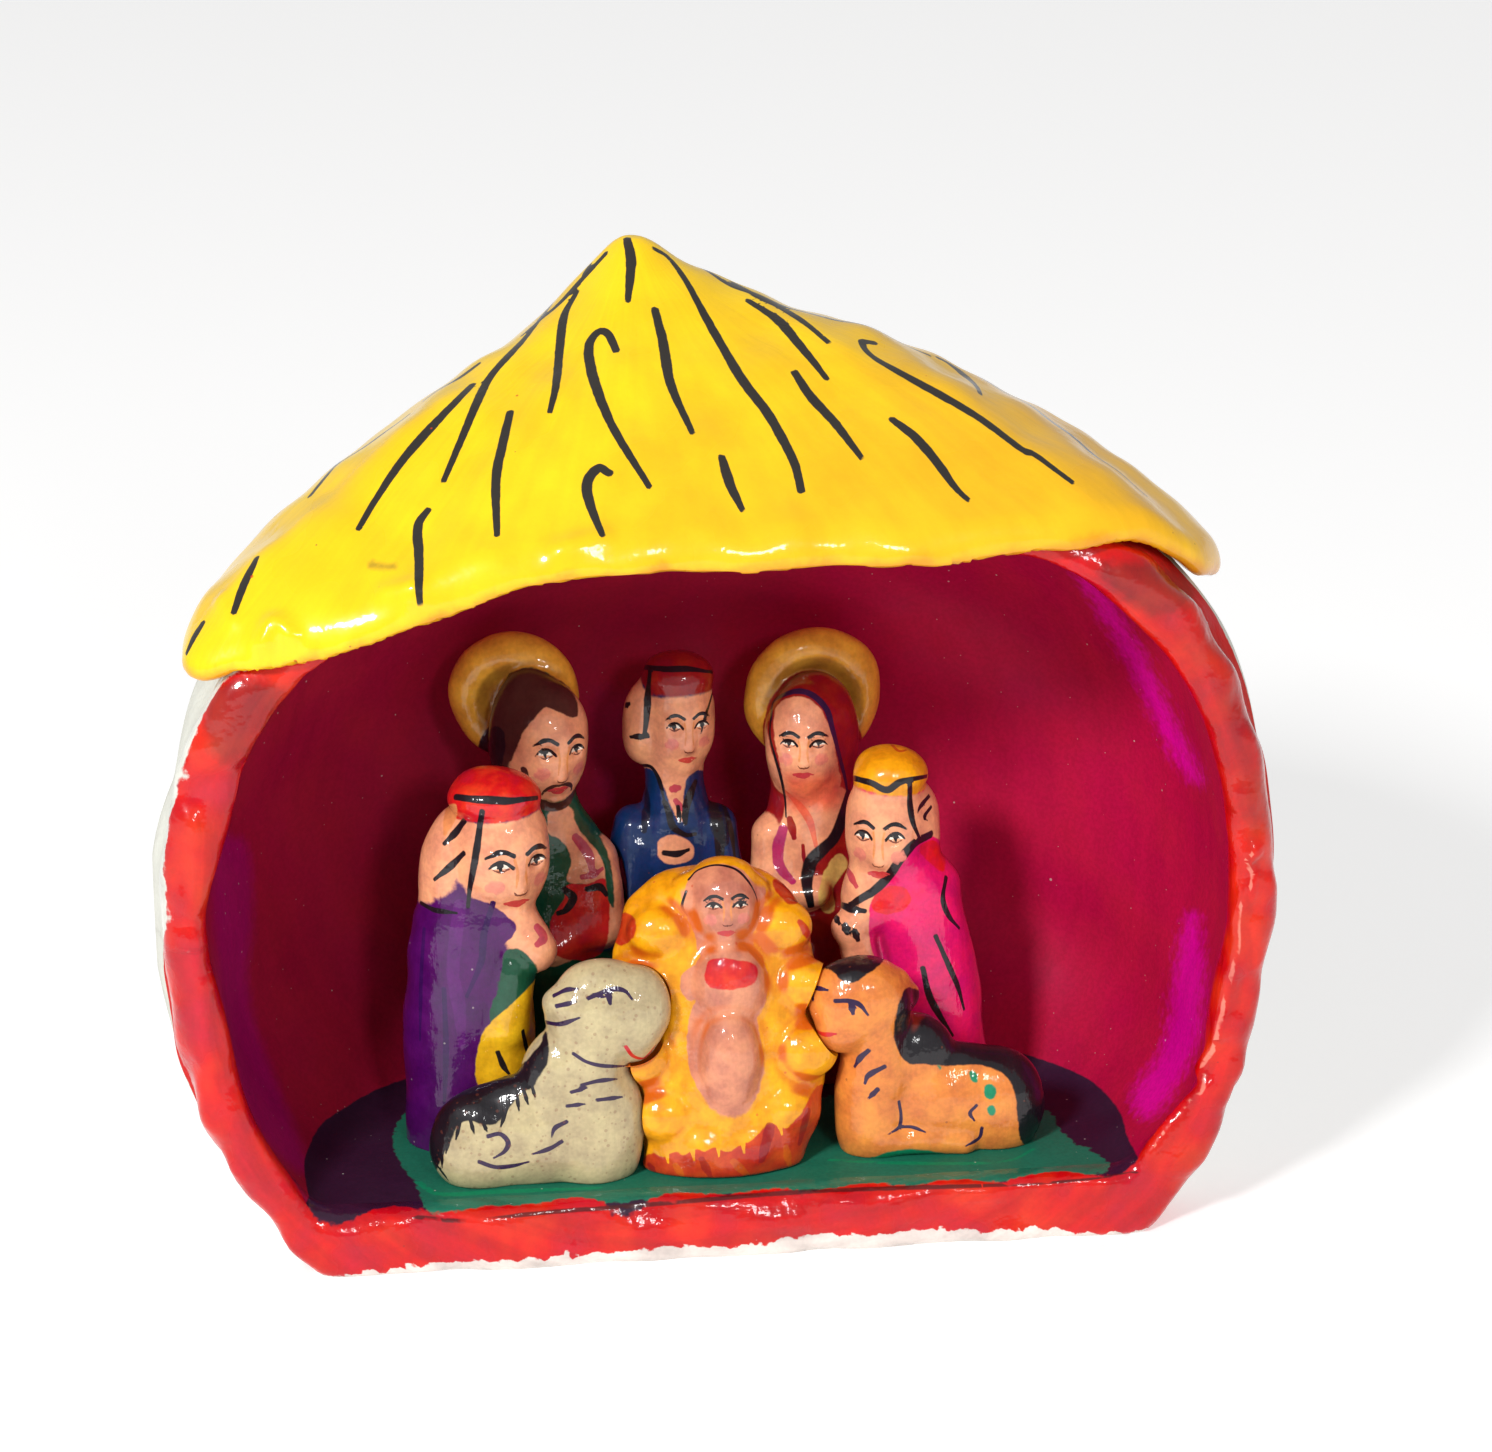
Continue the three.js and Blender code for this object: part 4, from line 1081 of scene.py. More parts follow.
# Marks on the skin: places, the way across the stroke, and its half width.
def laidStroke(hits, width):
    hits = [hit for hit in hits if hit[0] is not None]
    if len(hits) < 2:
        return None
    places, normals = np.array([hit[0] for hit in hits]), np.array([hit[1] for hit in hits])
    along = np.gradient(places, axis=0)
    across = np.cross(normals, along)
    across /= np.maximum(np.linalg.norm(across, axis=1), 1e-9)[:, None]
    share = np.linspace(0, 1, len(hits))
    body = 0.84 + 0.16 * np.sin(math.pi * share) - 0.3 * smooth((share - 0.6) / 0.4)
    body = body + 0.07 * np.sin(share * 9 + width * 7)
    return places, across, width / 2 * body


def photoStroke(tree, marks, width, evened=False):
    eye = Vector(cameraPlace - toFrame)
    hits = [tree.ray_cast(eye, Vector(viewRay(pixel)))[:2] for pixel in curveThrough(marks, 1.1)]
    hits = [hit for hit in hits if hit[0] is not None]
    if evened and len(hits) > 8:  # a stroke laid on a slope that the view grazes is drawn out, so it is evened
        places = np.array([hit[0] for hit in hits])
        length = np.linalg.norm(np.diff(places, axis=0), axis=1).sum()
        if length > 1.5 * len(hits) * 1.1 / pixelsPerMm:
            share = np.linspace(0, 1, len(hits))
            places = np.stack([np.polyval(np.polyfit(share, places[:, i], 2), share) for i in range(3)], -1)
            hits = [tree.find_nearest(Vector(place))[:2] for place in places]
    return laidStroke(hits, width / pixelsPerMm)


def headStroke(tree, figure, marks, width):
    face = figure["face"]
    out, right, above = faceAxes(face)
    scale, across, depth = figure["pen"]
    hits = []
    for u, v in curveThrough(marks, 0.03):
        start = np.array(face["centre"]) + right * u * face["halves"][0] + above * v * face["halves"][2] + out * 8
        start = start * scale + np.array([across, depth, floorTop])
        hits.append(tree.ray_cast(Vector(start), Vector(-out))[:2])
    return laidStroke(hits, width)


def strokeAmounts(points, shown, strokes):
    side, near = np.full(len(points), 4.0), np.full(len(points), 2.0)
    strokes = [stroke for stroke in strokes if stroke]
    if not strokes:
        return side, near
    places, across, half = [np.concatenate(parts) for parts in zip(*strokes)]
    finder = KDTree(len(places))
    for i, place in enumerate(places):
        finder.insert(place, i)
    finder.balance()
    low, high = places.min(0) - 2, places.max(0) + 2
    for i in np.flatnonzero(np.all((points > low) & (points < high), axis=1) & (shown > -0.3)):
        _, nearest, distance = finder.find(points[i])
        if distance < 2:
            side[i] = np.clip((points[i] - places[nearest]) @ across[nearest] / half[nearest], -4, 4)
            near[i] = distance - half[nearest]
    return side, near


# How far a place is open to the photo's view, as a length that falls below zero where it is hidden.
def openToView(tree, points, faces, outward):
    seen = np.zeros(len(points))
    facing = outward @ cameraBack
    eye = cameraPlace - toFrame
    for i in np.flatnonzero(facing > -0.25):
        start = points[i] + outward[i] * 0.35
        seen[i] = tree.ray_cast(Vector(start), Vector(eye - start))[0] is None
    for _ in range(3):
        seen = 0.4 * seen + 0.6 * neighbourMean(seen[:, None], faces)[:, 0]
    return (seen - 0.35) * 1.6


# How far the skin around a place closes in over it, from 0 on open skin to 1 in a deep crease.
def hollowOf(tree, points, outward, reach):
    ahead = points + outward * reach
    return np.array([1 - tree.find_nearest(Vector(place))[3] / reach for place in ahead])


humanFace = {
    "ivory": [([(0.3, 0.0), (0.42, 0.012), (0.56, 0.0)], 0.42)],
    "brownLine": [([(0.27, -0.05), (0.42, -0.09), (0.57, -0.045)], 0.13)],
    "lid": [([(0.19, -0.03), (0.3, 0.045), (0.43, 0.07), (0.56, 0.035), (0.64, -0.02)], 0.27)],
    "iris": [([(0.42, 0.035), (0.42, -0.05)], 0.4)],
    "brow": [([(0.16, 0.16), (0.32, 0.225), (0.5, 0.215), (0.67, 0.14)], 0.33)],
    "nostril": [([(0.03, -0.5), (0.11, -0.495), (0.15, -0.46)], 0.16)],
    "noseSide": [([(0.14, 0.08), (0.1, -0.12), (0.13, -0.36)], 0.2)],
    "upperLip": [([(-0.25, -0.665), (-0.1, -0.64), (0.0, -0.655), (0.1, -0.64), (0.25, -0.665)], 0.3)],
    "lowerLip": [([(-0.16, -0.695), (0.0, -0.72), (0.16, -0.695)], 0.3)],
    "beard": [([(-0.86, -0.3), (-0.72, -0.66), (-0.42, -0.9), (0.0, -0.98), (0.42, -0.9), (0.72, -0.66), (0.86, -0.3)], 0.75)],
    "moustache": [([(0.03, -0.575), (0.2, -0.585), (0.36, -0.66), (0.4, -0.74)], 0.36)],
    "cheek": [([(0.5, -0.34), (0.6, -0.36)], 1.2)],
}


def mirrored(strokes):
    return strokes + [([(-u, v) for u, v in marks], width) for marks, width in strokes]


def facePaint(tree, figure):
    size = figure["face"]["halves"][0] / 2.9 * figure["pen"][0]

    def laid(name, both=True):
        strokes = mirrored(humanFace[name]) if both else humanFace[name]
        return [headStroke(tree, figure, marks, width * size) for marks, width in strokes]

    layers = [("blush", laid("cheek"), 0.5), ("fleshShade", laid("noseSide"), 0.3), ("ivory", laid("ivory"), 0.1),
              ("brownLine", laid("brownLine") + laid("nostril"), 0.1)]
    if figure["face"].get("beard"):
        layers.append(("hair", laid("beard", False) + laid("moustache"), 0.12))
    layers.append(("lip", laid("upperLip", False) + laid("lowerLip", False), 0.1))
    layers.append(("black", laid("lid") + laid("iris") + laid("brow"), 0.08))
    return layers


# Every layer becomes one or two attributes on the mesh and one mix in the material.
def paintFigure(name, figure, points, faces):
    outward = outwardOf(points, faces)
    tree = BVHTree.FromPolygons(points.tolist(), faces.tolist())
    shown = openToView(tree, points, faces, outward)
    pixels = toPixels(points)
    local = localPoints(figure, points)
    distances = {}
    for form in figure["forms"]:
        distance = formField(form, local)
        distances[form[1]] = np.minimum(distances.get(form[1], 99), distance)
    layers, attributes = [], {}

    def keep(colour, kind, values, soft=0.14, strength=1.0):
        names = [f"{kind}{len(layers)}_{part}" for part in range(len(values))]
        attributes.update(zip(names, values))
        layers.append({"colour": colour, "kind": kind, "names": names, "soft": soft, "strength": strength})

    for colour, distance in distances.items():
        if colour != figure["base"]:
            others = np.min([other for key, other in distances.items() if key != colour], axis=0)
            keep(colour, "patch", [(others - distance) * 0.5])
    for layer in figure["paint"]:
        if "areas" in layer:
            depth = np.max([patchDepth(pixels, marks) for marks in layer["areas"]], axis=0) / pixelsPerMm
            keep(layer["colour"], "patch", [np.minimum(depth, shown)], layer.get("soft", 0.14), layer.get("strength", 1.0))
        if "lines" in layer:
            strokes = [photoStroke(tree, marks, width) for marks, width in layer["lines"]]
            keep(layer["colour"], "stroke", strokeAmounts(points, shown, strokes), strength=layer.get("strength", 1.0))
    if "face" in figure:
        for colour, strokes, soft in facePaint(tree, figure):
            keep(colour, "stroke", strokeAmounts(points, shown + 1, strokes), soft)
    attributes["hollow"] = hollowOf(tree, points, outward, figure.get("hollowReach", 1.2))
    attributes["sweepAlong"], attributes["sweepAcross"] = points[:, 2], points[:, 0]
    return layers, attributes


def paintMaterial(name, base, layers, finish):
    material = bpy.data.materials.new(name)
    material.use_nodes = True
    nodes, link = material.node_tree.nodes, material.node_tree.links.new
    shader = nodes["Principled BSDF"]

    def put(socket, value):
        if isinstance(value, (int, float, tuple)):
            socket.default_value = value
        else:
            link(value, socket)

    def mathNode(operation, first, second=0.0):
        node = nodes.new("ShaderNodeMath")
        node.operation = operation
        put(node.inputs[0], first)
        put(node.inputs[1], second)
        return node.outputs[0]

    def span(value, low, high, start=0.0, end=1.0, kind="SMOOTHSTEP"):
        node = nodes.new("ShaderNodeMapRange")
        node.interpolation_type = kind
        for socket, given in zip(node.inputs, (value, low, high, start, end)):
            put(socket, given)
        return node.outputs[0]

    def mix(share, first, second, blend="MIX"):
        node = nodes.new("ShaderNodeMix")
        node.data_type, node.blend_type = "RGBA", blend
        put(node.inputs[0], share)
        put(node.inputs[6], first)
        put(node.inputs[7], second)
        return node.outputs[2]

    def attribute(key):
        node = nodes.new("ShaderNodeAttribute")
        node.attribute_name = key
        return node.outputs["Fac"]

    coordinates = nodes.new("ShaderNodeTexCoord").outputs["Object"]

    def noise(size, detail=3.0, source=None):
        node = nodes.new("ShaderNodeTexNoise")
        link(source or coordinates, node.inputs["Vector"])
        node.inputs["Scale"].default_value = 1.0 / size if source else 1.0 / (size * mm)
        node.inputs["Detail"].default_value = detail
        return node.outputs["Fac"]

    def dots(size, spacing, rarity):
        node = nodes.new("ShaderNodeTexVoronoi")
        link(coordinates, node.inputs["Vector"])
        node.inputs["Scale"].default_value = 1.0 / (spacing * mm)
        parts = nodes.new("ShaderNodeSeparateColor")
        link(node.outputs["Color"], parts.inputs[0])
        dot = span(node.outputs["Distance"], size / spacing * 0.6, size / spacing, 1.0, 0.0)
        return mathNode("MULTIPLY", dot, mathNode("GREATER_THAN", parts.outputs[0], rarity))

    ragged = mathNode("SUBTRACT", noise(0.7, 4.0), 0.5)
    colour = base if isinstance(base, tuple) else linear(base)
    for layer in layers:
        if layer["kind"] == "patch":
            edge = mathNode("ADD", attribute(layer["names"][0]), mathNode("MULTIPLY", ragged, layer.get("ragged", 0.3)))
            share = span(edge, -layer["soft"] / 2, layer["soft"] / 2)
        else:
            side = mathNode("ADD", mathNode("ABSOLUTE", attribute(layer["names"][0])), mathNode("MULTIPLY", ragged, 0.35))
            near = mathNode("ADD", attribute(layer["names"][1]), mathNode("MULTIPLY", ragged, 0.12))
            share = mathNode("MULTIPLY", span(side, 1.0 + layer["soft"], 1.0 - layer["soft"]), span(near, 0.1, 0.0))
        if layer.get("strength", 1.0) < 1:
            share = mathNode("MULTIPLY", share, layer["strength"])
        colour = mix(share, colour, linear(layer["colour"]))
    sweep = nodes.new("ShaderNodeCombineXYZ")
    along, across = finish.get("sweep", (3.0, 0.4))
    put(sweep.inputs[0], mathNode("MULTIPLY", attribute("sweepAlong"), 1 / along))
    put(sweep.inputs[1], mathNode("MULTIPLY", attribute("sweepAcross"), 1 / across))
    streaks = noise(1.0, 3.0, sweep.outputs[0])
    patches = noise(finish.get("patchSize", 3.0), 2.0)
    streakShare, patchShare, grainShare = finish.get("variation", (0.1, 0.08, 0.03))
    shade = mathNode("ADD", span(streaks, 0.3, 0.7, -streakShare, streakShare * 0.6), span(patches, 0.3, 0.7, -patchShare, patchShare * 0.6))
    shade = mathNode("ADD", shade, span(noise(0.3, 1.0), 0.3, 0.7, 1 - grainShare, 1 + grainShare))
    tone = nodes.new("ShaderNodeHueSaturation")
    put(tone.inputs["Hue"], span(patches, 0.25, 0.75, 0.5 - finish.get("hue", 0.008), 0.5 + finish.get("hue", 0.008), "LINEAR"))
    put(tone.inputs["Value"], shade)
    link(colour, tone.inputs["Color"])
    colour = tone.outputs[0]
    # Painted shade in creases, with varnish pooled there: the hollower the skin, the more it takes the crease colour.
    shadedAndPooled = span(attribute("hollow"), finish.get("shadeAndPoolFrom", 0.05), finish.get("shadeAndPoolTo", 0.6))
    colour = mix(mathNode("MULTIPLY", shadedAndPooled, finish.get("shadeAndPool", 0.5)), colour, linear(finish.get("shadeAndPoolColour", "seam")))
    for size, spacing, rarity, paint, strength in finish.get("dots", []):
        colour = mix(mathNode("MULTIPLY", dots(size, spacing, rarity), strength), colour, linear(paint))
    link(colour, shader.inputs["Base Color"])
    put(shader.inputs["Roughness"], span(patches, 0.3, 0.7, finish["roughness"] * 0.8, finish["roughness"] * 1.2))
    shader.inputs["Specular IOR Level"].default_value = finish.get("shine", 0.15)
    shader.inputs["Coat Weight"].default_value = finish["coat"]
    shader.inputs["Coat Roughness"].default_value = finish.get("coatRoughness", 0.07)
    relief = mathNode("ADD", mathNode("MULTIPLY", noise(1.6, 2.0), 0.16), mathNode("MULTIPLY", streaks, 0.05))
    relief = mathNode("ADD", relief, mathNode("MULTIPLY", noise(0.35, 2.0), finish.get("grain", 0.015)))
    bump = nodes.new("ShaderNodeBump")
    bump.inputs["Strength"].default_value = finish.get("bump", 0.5)
    bump.inputs["Distance"].default_value = mm
    link(relief, bump.inputs["Height"])
    crinkle = nodes.new("ShaderNodeBump")
    crinkle.inputs["Strength"].default_value = finish.get("crinkle", 0.45)
    crinkle.inputs["Distance"].default_value = mm
    link(mathNode("ADD", mathNode("MULTIPLY", noise(0.9, 2.0), 0.12), mathNode("MULTIPLY", noise(0.28, 1.0), 0.03)), crinkle.inputs["Height"])
    link(bump.outputs[0], crinkle.inputs["Normal"])
    link(bump.outputs[0], shader.inputs["Normal"])
    link(crinkle.outputs[0], shader.inputs["Coat Normal"])
    return material


def meshPiece(name, points, faces, attributes, materials, material=None):
    mesh = bpy.data.meshes.new(name)
    mesh.from_pydata(((points + toFrame) * mm).tolist(), [], faces.tolist())
    mesh.polygons.foreach_set("use_smooth", np.ones(len(faces), bool))
    for key, values in attributes.items():
        mesh.attributes.new(key, "FLOAT", "POINT").data.foreach_set("value", np.asarray(values, np.float32))
    for paint in materials:
        mesh.materials.append(paint)
    if material is not None:
        mesh.polygons.foreach_set("material_index", material)
    mesh.update()
    piece = bpy.data.objects.new(name, mesh)
    bpy.context.collection.objects.link(piece)
    print(name, len(points), "points", len(attributes), "attributes")
    return piece


figureFinish = {
    "lamb": {"dots": [(0.16, 0.7, 0.35, "brownLine", 0.35), (0.1, 0.45, 0.5, "brownLine", 0.3)], "shadeAndPool": 0.25, "shadeAndPoolColour": "brownLine"},
    "ox": {"dots": [(0.12, 1.2, 0.6, "brownLine", 0.5)], "shadeAndPoolColour": "rust", "shadeAndPool": 0.45},
    "child_in_manger": {"dots": [(0.13, 1.3, 0.6, "rust", 0.5)], "shadeAndPoolColour": "orange", "shadeAndPool": 0.95, "shadeAndPoolFrom": 0.0, "variation": (0.02, 0.2, 0.05), "shadeAndPoolTo": 0.32},
    # The chalk dots on the purple robe are painted glints.
    "purple_king": {"dots": [(0.1, 1.1, 0.7, "chalk", 0.3)], "shadeAndPoolColour": "seam", "shadeAndPool": 0.4},
}
commonFinish = {"roughness": 0.4, "coat": 0.8, "coatRoughness": 0.05, "bump": 0.6, "variation": (0.02, 0.15, 0.06), "patchSize": 1.7, "dots": [(0.1, 1.2, 0.7, "brownLine", 0.35)], "shadeAndPool": 0.45}


def boundsOf(name):
    return [np.array(corner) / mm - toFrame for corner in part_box(name)]


def buildFigures():
    made = {}
    for name, figure in figures.items():
        low, high = figure["box"]
        points, faces = surfaceOf(lambda p: figureField(name, p), low - 0.8, high + 0.8, figureStep)
        if "tufts" in figure:
            points, faces = pressTufts(figure, points, faces, figureStep)
        layers, attributes = paintFigure(name, figure, points, faces)
        finish = {**commonFinish, **figureFinish.get(name, {})}
        made[name] = meshPiece(name + "_painted", points, faces, attributes, [paintMaterial(name + "_paint", figure["base"], layers, finish)])
    return made


roofPaint = {
    "strokes": [
        ([(627, 239), (631, 262), (628, 300)], 10),
        ([(589, 254), (573, 277), (547, 310), (524, 339), (493, 373), (478, 400), (462, 438), (444, 480)], 10),
        ([(589, 266), (583, 277)], 10),
        ([(576, 293), (564, 316), (560, 346), (556, 385), (550, 411)], 10),
        ([(616, 350), (608, 334), (598, 332), (589, 346), (592, 373), (604, 408), (619, 438), (649, 486)], 10),
        ([(655, 310), (663, 342), (671, 385), (692, 432)], 10),
        ([(472, 385), (441, 417), (405, 457), (378, 496), (359, 528)], 10),
        ([(510, 413), (503, 442), (496, 480), (497, 534)], 10),
        ([(427, 511), (418, 526), (419, 557), (419, 589), (420, 603)], 10),
        ([(609, 473), (598, 468), (587, 484), (591, 507), (602, 534)], 10),
        ([(722, 458), (730, 484), (742, 509)], 10),
        ([(369, 436), (336, 465), (310, 496)], 10),
        ([(256, 559), (244, 584), (234, 612)], 10),
        ([(202, 624), (194, 637), (187, 652)], 10),
        ([(749, 301), (778, 320), (797, 342), (816, 365), (826, 378)], 10),
        ([(734, 283), (759, 297), (785, 310), (808, 325), (828, 342)], 10),
        ([(795, 373), (812, 398), (835, 423), (861, 457)], 10),
        ([(874, 343), (862, 342), (872, 356), (908, 377), (946, 398), (981, 419), (1023, 450), (1034, 454), (1072, 482)], 10),
        ([(893, 420), (916, 438), (939, 465), (954, 486), (967, 499)], 10),
        ([(975, 376), (1007, 391), (1038, 411), (1080, 442), (1118, 473), (1151, 497)], 10),
        ([(939, 358), (960, 371), (981, 392)], 10),
        ([(690, 260), (740, 289), (793, 306), (854, 323), (916, 348)], 10),
        ([(801, 490), (795, 465), (782, 438), (766, 411), (743, 381), (722, 346), (703, 312), (686, 281), (669, 258), (655, 249)], 10),
    ],
    "backRows": [5, 8, 10, 9],
    "backWidth": 0.72,
    "backSeed": 4,
    "bumps": [([(262, 642), (274, 622), (292, 636)], 0.45, 0.7), ([(386, 592), (412, 587)], 0.35, 0.8), ([(560, 549), (604, 535)], 0.3, 0.8),
              ([(956, 568), (984, 563)], 0.45, 0.6), ([(222, 600), (232, 622)], 0.3, 0.8)],
    "smudge": [[(366, 563), (376, 560), (388, 564), (400, 566), (388, 571), (372, 570)]],
}


# Strokes on the slopes that the photo doesn't show, in rows that run down from the peak.
def backStrokes(tree):
    dice = np.random.default_rng(roofPaint["backSeed"])
    strokes = []
    for row, count in enumerate(roofPaint["backRows"]):
        for turn in (np.arange(count) + 0.5 + dice.uniform(-0.2, 0.2, count)) / count:
            angle = math.pi * (0.1 + 0.86 * turn) + np.linspace(0, dice.uniform(-0.05, 0.05), 24)
            start = 0.1 + 0.23 * row + dice.uniform(-0.05, 0.05)
            share = np.linspace(start, min(0.95, start + dice.uniform(0.12, 0.24)), 24)
            edgeX, edgeY = edgePlan(angle)
            x, y = edgeX * share - roof["peakLeft"] * (1 - share), edgeY * share + roof["peakBehindFront"] * (1 - share)
            reach = np.hypot(edgeX + roof["peakLeft"], edgeY - roof["peakBehindFront"])
            z = roofTop(angle, share, reach, edgeHeight(edgeX, edgeY))
            strokes.append(laidStroke([tree.find_nearest(Vector(place))[:2] for place in zip(x, y, z)], roofPaint["backWidth"]))
    return strokes


def buildRoof():
    low, high = boundsOf("thatched_roof")
    points, faces = surfaceOf(roofField, low - 0.6, high + 0.6, roof["step"])
    points = sculpt(points, faces, roofPaint["bumps"], 1)
    points = np.clip(points, np.array(cadLow) / mm - toFrame + 0.02, np.array(cadHigh) / mm - toFrame - 0.02)
    outward = outwardOf(points, faces)
    tree = BVHTree.FromPolygons(points.tolist(), faces.tolist())
    shown = openToView(tree, points, faces, outward)
    angle, share, reach, edge = roofPlace(points)
    strokes = [photoStroke(tree, marks, width, evened=True) for marks, width in roofPaint["strokes"]]
    side, near = strokeAmounts(points, shown + 1, strokes + backStrokes(tree))
    smudge = np.minimum(np.max([patchDepth(toPixels(points), marks) for marks in roofPaint["smudge"]], axis=0) / pixelsPerMm, shown)
    attributes = {
        # Deeper gold to the right and lower down the slopes: painted shade.
        "goldShade": points[:, 0] / 26 + (share - 0.72) * 1.6,
        # Deeper amber along the edge and under it: painted shade below the roof's lip.
        "amberShade": edge + 0.8 - points[:, 2] + 0.3 * ripple(points, 4, 41),
        "smudge": smudge,
        "side": side,
        "near": near,
        "hollow": hollowOf(tree, points, outward, 1.5),
        "sweepAlong": share * reach,
        "sweepAcross": angle * 30,
    }
    layers = [
        # Painted shade: deeper gold on the right slope and low on the slopes.
        {"colour": "goldShade", "kind": "patch", "names": ["goldShade"], "soft": 1.9, "ragged": 0.5, "strength": 0.75},
        # Painted shade along and under the roof's edge.
        {"colour": "amberShade", "kind": "patch", "names": ["amberShade"], "soft": 1.2, "ragged": 0.8, "strength": 0.7},
        {"colour": "smudge", "kind": "patch", "names": ["smudge"], "soft": 0.6, "ragged": 0.7, "strength": 0.7},
        {"colour": "ink", "kind": "stroke", "names": ["side", "near"], "soft": 0.1},
    ]
    finish = {"roughness": 0.3, "coat": 0.5, "coatRoughness": 0.05, "bump": 0.3, "crinkle": 0.2, "sweep": (6.0, 1.2), "variation": (0.04, 0.06, 0.01),
              "hue": 0.004, "shadeAndPool": 0.4, "shadeAndPoolColour": "amberShade", "patchSize": 6.0,
              "dots": [(0.16, 3.2, 0.62, "rust", 0.75), (0.1, 2.0, 0.75, "brownLine", 0.6)]}
    return meshPiece("thatched_roof_painted", points, faces, attributes, [paintMaterial("roof_paint", "yellow roof", layers, finish)])


shellPaint = {
    "rimDepth": 1.5,
    "wrapLeft": 1.1,
    "wrapRight": 7.0,
    "magenta": [
        [(1066, 557), (1082, 556), (1110, 598), (1144, 655), (1168, 706), (1196, 762), (1204, 790), (1180, 770), (1158, 728), (1140, 684), (1104, 620)],
        [(1186, 914), (1200, 916), (1206, 1000), (1194, 1056), (1150, 1128), (1126, 1096), (1164, 1052), (1172, 1000), (1176, 960)],
    ],
    "violet": [[(219, 818), (227, 838), (249, 838), (254, 918), (244, 992), (269, 1067), (309, 1162), (304, 1177), (269, 1147), (239, 1092), (222, 1018), (214, 943), (212, 868)]],
    # Darker violet on the back wall between the figures.
    "betweenFigures": [
        [(588, 700), (612, 688), (642, 700), (658, 742), (648, 800), (612, 812), (590, 770)],
        [(742, 700), (764, 690), (776, 740), (782, 800), (770, 860), (748, 850), (740, 780)],
    ],
    "green": [[(394, 1128), (404, 1112), (428, 1096), (1046, 1096), (1062, 1138), (1104, 1156), (1116, 1174), (1000, 1183), (800, 1191), (640, 1200), (500, 1213), (440, 1224), (424, 1208), (418, 1186), (402, 1166), (392, 1150)]],
    "brightGreen": [([(418, 1182), (440, 1194), (490, 1192), (540, 1190), (600, 1188)], 9), ([(830, 1160), (900, 1163), (1000, 1162), (1036, 1148)], 7)],
    # Darker rim just under the roof's edge: painted shade.
    "brick": [
        [(205, 678), (276, 684), (286, 690), (260, 730), (236, 768), (206, 756)],
        [(1090, 558), (1186, 568), (1200, 600), (1164, 622), (1114, 596)],
    ],
    "seam": [([(415, 1217), (470, 1221), (540, 1213), (620, 1207), (700, 1200), (800, 1192), (900, 1188), (1000, 1185), (1080, 1180), (1142, 1171)], 5)],
    "wornEdge": [(-33, 0.0), (-28, 0.3), (-24, 0.5), (-20, 0.8), (-17, 0.9), (-10, 0.95), (-2, 1.05), (6, 1.3), (20, 1.05), (24, 0.9), (27, 0.3), (31, 0)],
    "shade": [[(1190, 600), (1240, 680), (1262, 760), (1272, 830), (1240, 836), (1224, 760), (1205, 690), (1176, 630)]],
    # Pale line along the raised ridge: pale paint on its crest, lightened further as a painted highlight.
    "ridgeHighlightLine": [([(1254, 851), (1246, 863), (1253, 878), (1239, 913), (1238, 948), (1229, 983), (1221, 1018), (1214, 1047), (1202, 1067), (1204, 1087), (1184, 1107), (1164, 1132), (1147, 1157)], 5)],
    "ridges": [
        ([(1254, 851), (1246, 863), (1253, 878), (1239, 913), (1238, 948), (1229, 983), (1221, 1018), (1214, 1047), (1202, 1067), (1204, 1087), (1184, 1107), (1164, 1132), (1147, 1157)], 0.55, 0.5),
        ([(192, 818), (196, 868), (194, 943), (206, 1020)], 0.22, 0.6),
        ([(180, 770), (172, 820), (168, 870)], 0.25, 0.6),
        ([(520, 1232), (640, 1228), (780, 1222), (900, 1218)], 0.2, 0.8),
    ],
    "dents": [([(1279, 836), (1281, 848)], 0.9, 1.1), ([(1236, 700), (1246, 730)], 0.3, 1.0), ([(196, 790), (190, 800)], 0.35, 1.0)],
}


# Raises or sinks the skin along marks of the photo.
def sculpt(points, faces, marks, sign):
    outward = outwardOf(points, faces)
    tree = BVHTree.FromPolygons(points.tolist(), faces.tolist())
    for path, height, width in marks:
        stroke = photoStroke(tree, path, 1)
        if stroke is None:
            continue
        places = stroke[0][::3]
        near = np.all((points > places.min(0) - 3 * width) & (points < places.max(0) + 3 * width), axis=1)
        distance = np.linalg.norm(points[near][:, None] - places[None], axis=2).min(1)
        points[near] += outward[near] * (sign * height * np.exp(-(distance / width) ** 2))[:, None]
    return points


